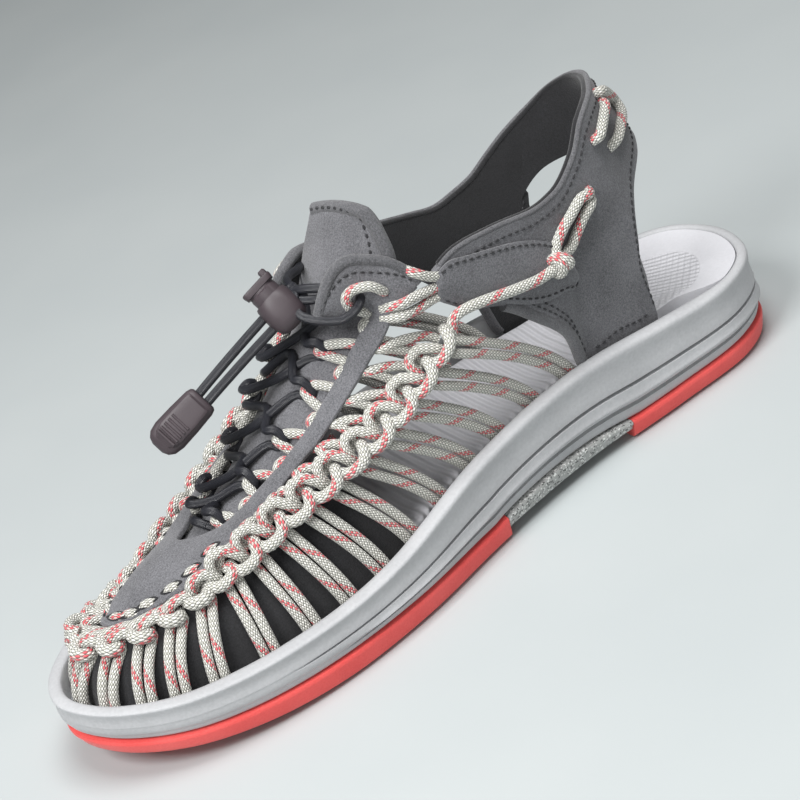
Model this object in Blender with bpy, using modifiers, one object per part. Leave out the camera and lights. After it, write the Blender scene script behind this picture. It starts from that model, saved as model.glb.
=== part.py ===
# Braided sandal, right foot: cord cage upper on a moulded sole.
# Frame in metres: +X to the toe, +Y to the medial side, +Z up, floor at Z = 0.
# The origin is on the floor under the middle of the heel seat.
import math

import bmesh
import bpy
import numpy as np
from mathutils import Matrix, Vector

MM = 0.001
GAP = 0.3

# Driving sizes in millimetres
CORD = 4.0
PAIRS = 29
LEG_SPAN = 0.28
LEG_SLIT = 0.10
FEATHER = 9.0
FEATHER_STEPS = 12
CHANNEL_OUT = 5.8
CHANNEL_IN = 12.4
CHANNEL_CLOSED = 3.6
CHANNEL_FADE = (-22.0, 0.0)
CHANNEL_LEDGE = 2.0
CORD_SEAT = 1.0
BED_ROUND = 1.0
BED_DISH = 8.0
PANEL_WALL = 2.0
PANEL_ROWS = 4
STRAP_WALL = 3.0
STRAP_ROWS = 5
SLEEVE_WALL = 4.2
SLEEVE_ROWS = 3.3
SLEEVE_SPAN = (0.05, 0.85)
TONGUE_WALL = 3.0
TONGUE_COLUMNS = 7
BRAID_WALL = 7.0
LACE = 3.0
TOE_TIP = 246.0
TOE_SPRING = 11.0
SPRING_START = 155.0

# Sole outline, heel back to toe along the medial side and back along the lateral side
OUTLINE = [
    (-40, 0), (-33.5, 20), (-18, 29.5), (14, 31.5), (54, 31.5), (94, 37), (135, 46.5),
    (170, 49.5), (200, 46.5), (223, 38.5), (239, 25), (246, 9), (243, -5), (232, -20),
    (217, -32), (195, -43), (165, -48.5), (125, -47.5), (75, -41), (25, -34.5),
    (-18, -31.5), (-33.5, -21),
]
OUTLINE_STEPS = 3

# Heights along the sole: station, top of the outsole, channel floor, footbed, rim crest
HEIGHTS = ("x", "outsole", "floor", "bed", "rim")
SOLE_STATIONS = [
    (-40, 8.5, 26.0, 30.6, 32.4),
    (-5, 7.5, 25.5, 29.2, 31.7),
    (45, 7.5, 27.0, 31.0, 35.4),
    (95, 8.0, 22.5, 27.0, 32.5),
    (145, 8.5, 15.0, 19.5, 24.4),
    (185, 9.5, 14.5, 18.6, 23.4),
    (215, 11.8, 16.6, 20.6, 24.6),
    (246, 16.8, 21.0, 24.2, 28.6),
]

# Side of the midsole from its lower edge to the crest of the rim:
# share of the height, distance outside the outline, depth of the moulded groove or bead
SIDE_PROFILE = [
    (0.00, -2.6, 0.0), (0.14, -1.0, 0.0), (0.20, -0.8, -1.5), (0.27, -0.2, 0.6), (0.40, 0.0, 0.0),
    (0.46, 0.0, -1.8), (0.52, 0.1, 0.0), (0.90, -0.8, 0.0), (1.00, -3.0, 0.0),
]
GROOVE_FULL = 120.0
GROOVE_END = 198.0

# Braid line from the medial ankle round the toe to the lateral ankle
BRAID = [
    (81.5, 31.5, 79.5), (105, 32, 65.5), (125, 31, 57.5), (145, 29.5, 53), (160, 28, 50),
    (180, 26, 45), (205, 22.5, 41.2), (223, 15.5, 40.2), (231, 5, 40), (223, -6.5, 38.8),
    (205, -13.5, 38), (180, -20, 41), (160, -24.5, 48.5), (145, -27.5, 55), (125, -30.5, 61.5),
    (105, -31.5, 66), (83, -31, 73),
]
BRAID_HALF = 4.2
BRAID_BUMP = 0.9
LEG_ROWS = (0, 0.33, 0.67)
LEG_KNEE = (0.1, 0.72)
BRAID_LAP = 0.6
BRAID_EDGES = (0.8, 1.0, 0.75)
STRAND_WALL = 2.8
STRAND_LAP = 2.2
STRAND_DIP = 0.25
FEATHER_MEDIAL_END = 41.5
FEATHER_LATERAL_END = 43.0

# Vamp panel, medial tab round the toe to the lateral tab: throat edge, outer edge, crown between them
PANEL = [
    ((112.5, 14, 105), (90, 26, 94), 9.0),
    ((108.5, 20, 95), (103.5, 25.5, 89), 2.0),
    ((122.5, 16, 86), (116.5, 22.5, 82), 1.0),
    ((133, 15, 76.5), (127.5, 21.5, 73), 1.0),
    ((147.5, 14, 67), (142.5, 21, 63.5), 1.0),
    ((162, 12.5, 58.5), (158, 21, 55.5), 1.0),
    ((177, 9.5, 53.5), (181, 23, 47.5), 1.2),
    ((184, 6, 51.8), (208, 19, 43.5), 1.6),
    ((186, 1.5, 51.5), (227, 5, 42.5), 1.8),
    ((184, -3, 51.5), (206, -10, 41.5), 1.6),
    ((177, -6.5, 52.8), (182, -16.5, 44.5), 1.2),
    ((165, -11, 57), (161, -18.5, 53), 1.0),
    ((152, -12.5, 63), (147, -19.5, 60), 1.0),
    ((139, -13.5, 73), (134, -20.5, 70), 1.0),
    ((129, -14.5, 82), (122, -21.5, 78.5), 1.0),
    ((109, -18, 97), (103, -25, 88.5), 2.0),
    ((112.5, -12, 105), (90, -25, 92), 9.0),
]
CROWN_AXIS = (0.2, 0.4, 0.89)

# Tongue from the throat to its top: station, height, half width, drop at its sides
TONGUE = [
    (190, 47, 11, 3.0), (178, 49.5, 14, 5.5), (162, 55.5, 17, 8.5), (147, 64.5, 18, 10.5),
    (133, 75, 18.5, 12.5), (121, 85.5, 18.5, 13.0), (108, 95, 18.5, 12.0), (99, 106, 19, 9.0),
    (94.5, 114, 17, 6.0), (92.5, 118.5, 11, 2.5),
]
TONGUE_MIDDLE = 1.0

# Heel strap: lower and upper edge, medial front round the back to the lateral front
STRAP = [
    ((86, 27, 86), (83.5, 27, 95)),
    ((77, 27.5, 77.5), (75, 27.5, 98)),
    ((65.5, 28, 71.8), (59, 27.5, 97)),
    ((56, 27.3, 62), (44, 27, 94.3)),
    ((46, 26.2, 49), (37, 26.3, 94.5)),
    ((40.5, 22.6, 28.4), (31, 25.6, 96)),
    ((27, 22.6, 28), (22, 24.4, 102.5)),
    ((12.5, 22.6, 27.5), (14, 22.4, 106.5)),
    ((9, 22.8, 60), (7, 19.3, 107.5)),
    ((3, 19.5, 76), (-1, 14.5, 108)),
    ((-8, 11.5, 84.5), (-7, 8, 108.3)),
    ((-13, 0, 86.5), (-10.5, 0, 108.3)),
    ((-8, -11.5, 84.5), (-7, -8, 108)),
    ((3, -19.5, 74), (0, -14.5, 106)),
    ((9, -22.8, 58), (8, -19.3, 102.5)),
    ((12.5, -25.2, 27.5), (15, -22.6, 98.5)),
    ((27, -26.4, 28), (24, -24.8, 93)),
    ((40.5, -28.0, 28.4), (33, -26.2, 88)),
    ((46, -28.4, 47), (41, -27, 86)),
    ((56, -28.4, 58), (49, -27.5, 85)),
    ((65.5, -28, 69), (60, -27.5, 88)),
    ((77, -27.5, 75), (75, -27.5, 92)),
    ((86, -27, 82.8), (83.5, -27, 91.8)),
]
STRAP_LAST = len(STRAP) - 1

# Cords laid on the strap: row along the strap, share of its height.
# The medial side is given, and the lateral side counts its rows from the other end.
HEEL_CORD = [(0.8, 0.04), (1.4, 0.2), (2.1, 0.27), (2.9, 0.41), (3.55, 0.52)]
HEEL_BIGHT = [(3.6, 0.53), (4.7, 0.7), (5.8, 0.83)]
BACK_CORDS = [[(8.3, 0.96), (7.9, 0.82), (7.5, 0.68)], [(9.1, 0.92), (8.7, 0.77), (8.3, 0.62)]]
KNOT_SIZE = (8.5, 7.5, 7.0)
BIGHT = 1.5 * CORD
STRAP_CLEARANCE = 0.5

# Short cords from each eyestay tab to the front of the strap
TAB_CORDS = [
    [(99.0, 31.2, 95.4), (94, 30.0, 94.6), (85.8, 27.6, 92.6)],
    [(102.0, 29.8, 90.6), (95, 28.8, 89.6), (86.0, 27.1, 88.4)],
]
LATERAL_DROP = 3.2

# Elastic lace over the tongue: station, distance from the middle and lift at each turn
LACE_TURNS = [
    (108, 9.5, 10.0), (121, 8.5, 7.0), (133, 8.0, 6.5), (147, 7.5, 6.0), (161, 6.5, 5.5), (174, 4.0, 5.0),
]

LACE_OVER = 0.4

# Cord lock, its two lace tails and their end clip
LOCK_CENTRE = (126.5, 6, 101)
LOCK_AXIS = (0.34, -0.60, 0.72)
TAIL_AXIS = (0.918, -0.15, -0.37)
LOCK_RADIUS = 7.0
LOCK_LENGTH = 13.0
LOCK_FLOOR = 2.0
BUTTON_RADIUS = 5.0
BUTTON_STANDS = 6.5
BUTTON_TRAVEL = 3.5
HOLE_SPREAD = 2.2
TURN_STEPS = 12
HOLE_SLACK = 0.6
TAIL_LENGTH = 33.0
TAIL_SAG = 1.0
TAIL_SPREAD_AT_CLIP = 1.8
CLIP_SIZE = (21.0, 12.0, 8.5)
CLIP_SOCKET = 3.0
CLIP_ROUND = 2.4

# Outsole edge from the tread up: inset from the outline, height above the ground or the outsole's top
TREAD_EDGE = [(5.5, 0.0), (3.0, 0.6), (1.6, 2.6)]
OUTSOLE_EDGE = [(0.6, -1.2), (1.4, 0.0)]

# Tread: stations of the lug grooves and their size
FOREFOOT_FROM = 94.0
HEEL_TO = 36.0
FOREFOOT_GROOVES = (112, 130, 148, 166, 184, 202)
HEEL_GROOVES = (-22, -8, 6, 20)
GROOVE_WIDTH = 3.2
GROOVE_DEPTH = 2.6
ARCH_CLEARANCE = 3.0

COLOURS = {
    "coral rubber": (0.86, 0.13, 0.11, 0.75),
    "grey foam": (0.38, 0.38, 0.37, 0.8),
    "light foam": (0.50, 0.51, 0.54, 0.6),
    "footbed foam": (0.68, 0.68, 0.73, 0.6),
    "cord": (0.52, 0.52, 0.49, 0.85),
    "microfibre": (0.15, 0.15, 0.16, 0.9),
    "elastic": (0.03, 0.03, 0.04, 0.6),
    "lock plastic": (0.11, 0.08, 0.09, 0.45),
}


def clear_scene():
    for item in list(bpy.data.objects):
        bpy.data.objects.remove(item, do_unlink=True)


def new_collection(name):
    collection = bpy.data.collections.new(name)
    bpy.context.scene.collection.children.link(collection)
    return collection


def make_material(name):
    red, green, blue, roughness = COLOURS[name]
    material = bpy.data.materials.new(name)
    material.use_nodes = True
    shader = material.node_tree.nodes["Principled BSDF"]
    shader.inputs["Base Color"].default_value = (red, green, blue, 1)
    shader.inputs["Roughness"].default_value = roughness
    shader.inputs["Metallic"].default_value = 0
    return material


def add_mesh(name, bm, material, collection):
    mesh = bpy.data.meshes.new(name)
    bmesh.ops.recalc_face_normals(bm, faces=bm.faces)
    bm.to_mesh(mesh)
    bm.free()
    mesh.materials.append(MATERIALS[material])
    item = bpy.data.objects.new(name, mesh)
    collection.objects.link(item)
    return item


def as_mesh(item, name, collection):
    # Evaluated copy of a curve or a modified object as one plain mesh
    depsgraph = bpy.context.evaluated_depsgraph_get()
    mesh = bpy.data.meshes.new_from_object(item.evaluated_get(depsgraph))
    bm = bmesh.new()
    bm.from_mesh(mesh)
    bm.transform(item.matrix_world)
    bmesh.ops.remove_doubles(bm, verts=bm.verts, dist=1e-7)
    bmesh.ops.recalc_face_normals(bm, faces=bm.faces)
    bm.to_mesh(mesh)
    bm.free()
    bpy.data.objects.remove(item, do_unlink=True)
    result = bpy.data.objects.new(name, mesh)
    collection.objects.link(result)
    return result


def boolean(target, tool, operation):
    modifier = target.modifiers.new(operation.lower(), "BOOLEAN")
    modifier.operation = operation
    modifier.object = tool
    modifier.material_mode = "TRANSFER"
    tool.hide_render = True
    tool.display_type = "WIRE"


def join_all(first, others, name):
    # Boolean union of solids into one plain mesh object
    for other in others:
        boolean(first, other, "UNION")
    joined = as_mesh(first, name, PARTS)
    for other in others:
        bpy.data.objects.remove(other, do_unlink=True)
    return joined


def catmull(p0, p1, p2, p3, share):
    # Point between p1 and p2 on a centripetal curve through four points
    level = [np.asarray(p, float) for p in (p0, p1, p2, p3)]
    knots = [0.0]
    for a, b in zip(level, level[1:]):
        knots.append(knots[-1] + max(np.linalg.norm(b - a), 1e-6) ** 0.5)
    t = knots[1] + (knots[2] - knots[1]) * share
    spans = [[(0, 1), (1, 2), (2, 3)], [(0, 2), (1, 3)], [(1, 2)]]
    for pairs in spans:
        blended = []
        for i, (a, b) in enumerate(pairs):
            weight = (t - knots[a]) / (knots[b] - knots[a])
            blended.append(level[i] * (1 - weight) + level[i + 1] * weight)
        level = blended
    return level[0]


def through(points, steps, closed=False):
    # Smooth curve through the points, with the given steps in each span
    count = len(points)
    result = []
    for i in range(count if closed else count - 1):
        if closed:
            four = [points[(i + k) % count] for k in (-1, 0, 1, 2)]
        else:
            a, b = np.asarray(points[i], float), np.asarray(points[i + 1], float)
            before = points[i - 1] if i else 2 * a - b
            after = points[i + 2] if i + 2 < count else 2 * b - a
            four = [before, a, b, after]
        result += [catmull(*four, k / steps) for k in range(steps)]
    if not closed:
        result.append(np.asarray(points[-1], float))
    return np.array(result)


def even(curve, count, start=0.0, end=1.0):
    # Points at equal lengths along a curve
    steps = np.linalg.norm(np.diff(curve, axis=0), axis=1)
    run = np.concatenate([[0], np.cumsum(steps)]) / steps.sum()
    places = np.linspace(start, end, count) if np.isscalar(count) else np.asarray(count)
    return np.stack([np.interp(places, run, curve[:, k]) for k in range(curve.shape[1])], 1)


def station(x, column):
    # Smooth height along the sole from the table of stations
    rows = np.array(SOLE_STATIONS, float)
    value = rows[:, HEIGHTS.index(column)]
    fine = through(np.stack([rows[:, 0], value], 1), 8)
    return np.interp(x, fine[:, 0], fine[:, 1])


def ground(x):
    # Underside of the sole: flat from heel to ball, then the toe spring
    rise = np.clip((np.asarray(x) - SPRING_START) / (TOE_TIP - SPRING_START), 0, 1)
    return TOE_SPRING * rise ** 2


def outline(inset, steps=OUTLINE_STEPS):
    # Sole outline moved inwards by a distance, which may differ from point to point
    curve = through(OUTLINE, steps, closed=True)
    along = np.roll(curve, -1, 0) - np.roll(curve, 1, 0)
    along /= np.linalg.norm(along, axis=1)[:, None]
    inward = np.stack([along[:, 1], -along[:, 0]], 1)
    return curve + inward * np.broadcast_to(inset, len(curve))[:, None]


def ring(inset, height):
    flat = outline(inset)
    z = height(flat[:, 0]) if callable(height) else height
    return np.column_stack([flat, np.broadcast_to(z, len(flat))])


def loft(name, rings, material, collection):
    # Closed body from rings of equal count, capped by rungs from side to side
    bm = bmesh.new()
    rows = [[bm.verts.new(Vector(p) * MM) for p in points] for points in rings]
    count = len(rows[0])
    for low, high in zip(rows, rows[1:]):
        for i in range(count):
            j = (i + 1) % count
            bm.faces.new((low[i], low[j], high[j], high[i]))
    for row in (rows[0], rows[-1]):
        bm.faces.new((row[0], row[1], row[-1]))
        for i in range(1, count // 2 - 1):
            bm.faces.new((row[i], row[i + 1], row[count - i - 1], row[count - i]))
        middle = count // 2
        bm.faces.new((row[middle - 1], row[middle], row[middle + 1]))
    return add_mesh(name, bm, material, collection)


def sheet(name, grid, wall, material, keep=None, weights=None):
    # Wall on a grid of points; keep leaves out cells, weights thin the wall from place to place
    rows, columns = grid.shape[:2]
    bm = bmesh.new()
    layer = bm.verts.layers.deform.new()
    verts = {}
    for i in range(rows):
        for j in range(columns):
            verts[i, j] = bm.verts.new(Vector(grid[i, j]) * MM)
            verts[i, j][layer][0] = 1.0 if weights is None else weights[i][j]
    for i in range(rows - 1):
        for j in range(columns - 1):
            if keep is None or keep(i, j):
                bm.faces.new((verts[i, j], verts[i, j + 1], verts[i + 1, j + 1], verts[i + 1, j]))
    loose = [v for v in bm.verts if not v.link_faces]
    bmesh.ops.delete(bm, geom=loose, context="VERTS")
    item = add_mesh(name, bm, material, PARTS)
    item.vertex_groups.new(name="wall")
    solid = item.modifiers.new("wall", "SOLIDIFY")
    solid.thickness = wall * MM
    solid.offset = 0
    solid.vertex_group = "wall"
    solid.use_quality_normals = True
    return item


def tube(name, points, diameter, material, sides=1, steps=2):
    # Round cord along a smooth curve through the points
    path = through(points, steps) if steps > 1 else np.asarray(points, float)
    data = bpy.data.curves.new(name, "CURVE")
    data.dimensions = "3D"
    data.bevel_depth = diameter / 2 * MM
    data.bevel_resolution = sides
    data.use_fill_caps = True
    spline = data.splines.new("POLY")
    spline.points.add(len(path) - 1)
    for place, point in zip(spline.points, path):
        place.co = (*(point * MM), 1)
    data.materials.append(MATERIALS[material])
    item = bpy.data.objects.new(name, data)
    PARTS.objects.link(item)
    return item


def box_cutter(name, size, place):
    bm = bmesh.new()
    bmesh.ops.create_cube(bm, size=1)
    bmesh.ops.scale(bm, vec=Vector(size) * MM, verts=bm.verts)
    bmesh.ops.translate(bm, vec=Vector(place) * MM, verts=bm.verts)
    item = add_mesh(name, bm, "grey foam", CUTTERS)
    item.hide_render = True
    item.display_type = "WIRE"
    return item


def outsole_slab(name, x_from, x_to, lift, material):
    # One length of the outsole, cut from the whole slab by a box
    rings = [ring(inset, lambda x, up=up: ground(x) + lift + up) for inset, up in TREAD_EDGE]
    rings += [ring(inset, lambda x, up=up: station(x, "outsole") + up) for inset, up in OUTSOLE_EDGE]
    slab = loft(name, rings, material, PARTS)
    length = x_to - x_from
    keep = box_cutter(name + "_length", (length, 130, 80), ((x_from + x_to) / 2, 0, 10))
    boolean(slab, keep, "INTERSECT")
    return slab


def cut_lugs(slab, stations):
    for number, x in enumerate(stations):
        depth = GROOVE_DEPTH * 2
        groove = box_cutter(f"{slab.name}_groove_{number}", (GROOVE_WIDTH, 130, depth), (x, 0, ground(x)))
        boolean(slab, groove, "DIFFERENCE")


def make_outsole():
    forefoot = outsole_slab("outsole_forefoot", FOREFOOT_FROM + GAP / 2, 260, 0, "coral rubber")
    cut_lugs(forefoot, FOREFOOT_GROOVES)
    heel = outsole_slab("outsole_heel", -60, HEEL_TO - GAP / 2, 0, "coral rubber")
    cut_lugs(heel, HEEL_GROOVES)
    outsole_slab("outsole_arch", HEEL_TO + GAP / 2, FOREFOOT_FROM - GAP / 2, ARCH_CLEARANCE, "grey foam")


def channel_inset(x, wide):
    # The cord channel narrows to nothing behind the heel strap
    start, full = CHANNEL_FADE
    share = np.clip((np.asarray(x) - start) / (full - start), 0, 1)
    return CHANNEL_CLOSED + (wide - CHANNEL_CLOSED) * share * share * (3 - 2 * share)


def make_midsole():
    x = through(OUTLINE, OUTLINE_STEPS, closed=True)[:, 0]
    groove = np.clip((GROOVE_END - x) / (GROOVE_END - GROOVE_FULL), 0, 1)
    low = station(x, "outsole") + GAP
    high = station(x, "rim")
    rings = [ring(CHANNEL_OUT, low)]
    for share, out, relief in SIDE_PROFILE:
        rings.append(ring(-out - relief * groove, low + (high - low) * share))
    inner = channel_inset(x, CHANNEL_OUT)
    rings.append(ring(inner, high - CHANNEL_LEDGE))
    rings.append(ring(inner + GAP, lambda place: station(place, "floor") - GAP))
    return loft("midsole", rings, "light foam", PARTS)


def make_footbed():
    x = through(OUTLINE, OUTLINE_STEPS, closed=True)[:, 0]
    edge = np.maximum(channel_inset(x, CHANNEL_IN), channel_inset(x, CHANNEL_OUT) + 3 * GAP)
    bed = station(x, "bed")
    return loft("footbed", [
        ring(edge, lambda place: station(place, "floor")),
        ring(edge + BED_ROUND, bed),
        ring(edge + BED_DISH, bed - BED_ROUND),
    ], "footbed foam", PARTS)


def feather_line():
    # Where the cords enter the channel, medial side round the toe to the lateral side
    curve = outline(FEATHER, FEATHER_STEPS)
    half = len(curve) // 2
    medial = curve[:half + 1]
    lateral = curve[half:]
    medial = medial[medial[:, 0] > FEATHER_MEDIAL_END]
    lateral = lateral[lateral[:, 0] > FEATHER_LATERAL_END]
    flat = np.concatenate([medial, lateral[1:]])
    return np.column_stack([flat, station(flat[:, 0], "floor") + CORD_SEAT])


def cage_columns():
    # Places of the leg edges along the pairs, four to a pair
    edges = (-LEG_SPAN - LEG_SLIT / 2, -LEG_SLIT / 2, LEG_SLIT / 2, LEG_SPAN + LEG_SLIT / 2)
    return np.array([(pair + edge + 0.5) / PAIRS for pair in range(PAIRS) for edge in edges])


def make_cage():
    # Legs from channel to braid, the raised braid, and strands on to the panel
    places = cage_columns()
    foot = even(feather_line(), places)
    braid = even(through(BRAID, 6), places)
    panel = even(through([row[1] for row in PANEL[1:-1]], 6), places)
    rise = braid[:, 2:] - foot[:, 2:]
    plan, height = LEG_KNEE
    knee = np.column_stack([foot[:, :2] * (1 - plan) + braid[:, :2] * plan, foot[:, 2:] + rise * height])
    towards = braid - knee
    towards /= np.linalg.norm(towards, axis=1)[:, None]
    inwards = panel - braid
    reach = np.linalg.norm(inwards, axis=1)[:, None]
    inwards /= reach
    lower = braid - towards * BRAID_HALF
    upper = braid + inwards * np.minimum(BRAID_HALF, reach * BRAID_LAP)
    rows = []
    for share in LEG_ROWS:
        rows.append(foot * (1 - share) ** 2 + knee * 2 * share * (1 - share) + lower * share ** 2)
    outward = np.cross(np.gradient(braid, axis=0), towards)
    outward /= np.linalg.norm(outward, axis=1)[:, None]
    bump = np.cos(2 * np.pi * (places * PAIRS - 0.5))[:, None]
    crown = braid - outward * (BRAID_BUMP * bump)
    rows += [lower, crown, upper, panel + inwards * STRAND_LAP - np.array([0, 0, STRAND_DIP])]
    walls = [CORD] * len(LEG_ROWS) + [BRAID_WALL * edge for edge in BRAID_EDGES] + [STRAND_WALL]
    weights = [[wall / BRAID_WALL] * len(places) for wall in walls]
    band = (len(LEG_ROWS), len(LEG_ROWS) + 1)

    def keep(i, j):
        return i in band or j % 4 in (0, 2)

    return sheet("cage", np.array(rows), BRAID_WALL, "cord", keep, weights)


def make_panel():
    # Vamp panel and the two eyestays, with the throat open between them
    inner, outer = (through([row[k] for row in PANEL], 2) for k in (0, 1))
    crown = even(np.array([[row[2]] for row in PANEL], float), len(inner))
    side = np.where(inner[:, 1:2] > TONGUE_MIDDLE, 1, -1)
    lift = np.concatenate([np.full_like(side, CROWN_AXIS[0], float), CROWN_AXIS[1] * side,
                           np.full_like(side, CROWN_AXIS[2], float)], 1) * crown
    rows = []
    for share in np.linspace(0, 1, PANEL_ROWS):
        rows.append(inner * (1 - share) + outer * share + lift * math.sin(math.pi * share))
    return sheet("panel", np.array(rows), PANEL_WALL, "microfibre")


def make_upper():
    cage = as_mesh(make_cage(), "upper", PARTS)
    panel = as_mesh(make_panel(), "panel_tool", PARTS)
    return join_all(cage, [panel], "upper")


def tongue_at(x, side):
    # Middle of the tongue's wall at a station, side from -1 to 1
    rows = np.array(TONGUE, float)[::-1]
    height, half, drop = (np.interp(x, rows[:, 0], rows[:, k]) for k in (1, 2, 3))
    return np.array([x, TONGUE_MIDDLE + half * side, height - drop * side * side])


def make_tongue():
    rows = []
    for x, z, half, drop in TONGUE:
        sides = np.linspace(-1, 1, TONGUE_COLUMNS)
        rows.append([(x, TONGUE_MIDDLE + half * a, z - drop * a * a) for a in sides])
    return sheet("tongue", np.array(rows), TONGUE_WALL, "microfibre")


def strap_edges():
    return [through([row[k] for row in STRAP], 2) for k in (0, 1)]


def make_strap():
    lower, upper = strap_edges()
    shares = np.linspace(0, 1, STRAP_ROWS)
    grid = np.array([lower * (1 - share) + upper * share for share in shares])
    rows = np.linspace(0, STRAP_LAST, grid.shape[1])
    ends = np.minimum(rows, STRAP_LAST - rows)
    sleeve = ends < SLEEVE_ROWS
    wall = []
    for share in shares:
        covered = sleeve & (SLEEVE_SPAN[0] < share < SLEEVE_SPAN[1])
        wall.append(np.where(covered, SLEEVE_WALL, STRAP_WALL))
    return sheet("heel_strap", grid, SLEEVE_WALL, "microfibre", weights=np.array(wall) / SLEEVE_WALL)


def on_strap(row, share, lift):
    # Point outside the strap's wall, at a row and a share of its height
    lower, upper = strap_edges()
    rows = np.linspace(0, STRAP_LAST, len(lower))

    def place(r, s):
        edges = [np.array([np.interp(r, rows, edge[:, k]) for k in range(3)]) for edge in (lower, upper)]
        return edges[0] * (1 - s) + edges[1] * s

    along = place(row + 0.2, share) - place(row - 0.2, share)
    upwards = place(row, 1.0) - place(row, 0.0)
    outward = np.cross(along, upwards)
    return place(row, share) + outward / np.linalg.norm(outward) * lift


def strap_path(points, side, depth, wall=SLEEVE_WALL):
    # Points of a cord or knot of the given depth, laid just clear of the strap
    rows = [(row if side == "medial" else STRAP_LAST - row, share) for row, share in points]
    lift = wall / 2 + depth / 2 + STRAP_CLEARANCE
    return [on_strap(row, share, lift) for row, share in rows]


def knot_at(name, centre):
    bm = bmesh.new()
    bmesh.ops.create_uvsphere(bm, u_segments=8, v_segments=6, radius=0.5)
    bmesh.ops.scale(bm, vec=Vector(KNOT_SIZE) * MM, verts=bm.verts)
    bmesh.ops.translate(bm, vec=Vector(centre) * MM, verts=bm.verts)
    return add_mesh(name, bm, "cord", PARTS)


def make_heel_cords():
    for side in ("medial", "lateral"):
        run = strap_path(HEEL_CORD, side, CORD)
        knot = strap_path(HEEL_CORD[-1:], side, KNOT_SIZE[1])[0]
        cord = as_mesh(tube("run", run, CORD, "cord"), f"heel_cord_{side}", PARTS)
        bight = tube("bight", strap_path(HEEL_BIGHT, side, BIGHT), BIGHT, "cord")
        tools = [knot_at("knot", knot), as_mesh(bight, "bight", PARTS)]
        join_all(cord, tools, f"heel_cord_{side}")
        for number, points in enumerate(BACK_CORDS, 1):
            path = strap_path(points, side, CORD, STRAP_WALL)
            tube(f"back_cord_{side}_{number}", path, CORD, "cord")
        for number, points in enumerate(TAB_CORDS, 1):
            if side == "lateral":
                points = [(x, -y, z - LATERAL_DROP) for x, y, z in points]
            tube(f"tab_cord_{side}_{number}", points, CORD, "cord")


def lock_frame():
    # Lock frame: X along the tails, Z out of the barrel's mouth
    x = Vector(TAIL_AXIS).normalized()
    z = Vector(LOCK_AXIS)
    z = (z - x * z.dot(x)).normalized()
    turn = Matrix((x, z.cross(x), z)).transposed().to_4x4()
    return Matrix.Translation(Vector(LOCK_CENTRE)) @ turn


def lace_path(first):
    # One of the two zigzags, from the lock's back down to the last crossing
    hole = HOLE_SPREAD * first
    points = [lock_frame() @ Vector((-reach, 0, hole)) for reach in (LOCK_RADIUS - 1, LOCK_RADIUS + 3)]
    side = first
    for x, reach, lift in LACE_TURNS:
        half = np.interp(x, [row[0] for row in TONGUE[::-1]], [row[2] for row in TONGUE[::-1]])
        over = LACE_OVER if first > 0 else 0
        points.append(tongue_at(x, side * reach / half) + np.array([0, 0, lift + over]))
        side = -side
    return [np.array(point) for point in points]


def make_lace():
    one = as_mesh(tube("one", lace_path(1), LACE, "elastic"), "lace", PARTS)
    two = as_mesh(tube("two", lace_path(-1), LACE, "elastic"), "two", PARTS)
    join_all(one, [two], "lace")


def turned(name, profile, frame, material):
    # Body of revolution about the frame's Z, profile given as radius and height
    bm = bmesh.new()
    verts = [bm.verts.new((radius * MM, 0, height * MM)) for radius, height in profile]
    for a, b in zip(verts, verts[1:]):
        bm.edges.new((a, b))
    mesh = bpy.data.meshes.new(name)
    bm.to_mesh(mesh)
    bm.free()
    mesh.materials.append(MATERIALS[material])
    item = bpy.data.objects.new(name, mesh)
    PARTS.objects.link(item)
    item.matrix_world = Matrix.Translation(frame.translation * MM) @ frame.to_3x3().to_4x4()
    screw = item.modifiers.new("turn", "SCREW")
    screw.steps = TURN_STEPS
    screw.render_steps = TURN_STEPS
    screw.use_merge_vertices = True
    screw.merge_threshold = 1e-6
    return item


def make_lock():
    frame = lock_frame()
    half = LOCK_LENGTH / 2
    inside = BUTTON_RADIUS + GAP
    floor = LOCK_FLOOR - half
    barrel = turned("lock_barrel", [
        (0, floor), (inside, floor), (inside, half), (LOCK_RADIUS - 0.6, half), (LOCK_RADIUS, half - 1.2),
        (LOCK_RADIUS, 3 - half), (LOCK_RADIUS - 2.4, 0.8 - half), (0, -half),
    ], frame, "lock plastic")
    for number, hole in enumerate((-HOLE_SPREAD, HOLE_SPREAD)):
        ends = [frame @ Vector((reach, 0, hole)) for reach in (-2 * LOCK_RADIUS, 2 * LOCK_RADIUS)]
        drill = tube("drill", [np.array(end) for end in ends], LACE + HOLE_SLACK, "lock plastic", steps=1)
        drill = as_mesh(drill, f"lock_hole_{number}", CUTTERS)
        boolean(barrel, drill, "DIFFERENCE")
    top = half + BUTTON_STANDS
    foot = floor + BUTTON_TRAVEL + GAP
    turned("lock_button", [
        (0, top), (BUTTON_RADIUS - 1, top), (BUTTON_RADIUS, top - 1), (BUTTON_RADIUS, foot), (0, foot),
    ], frame, "lock plastic")


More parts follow.
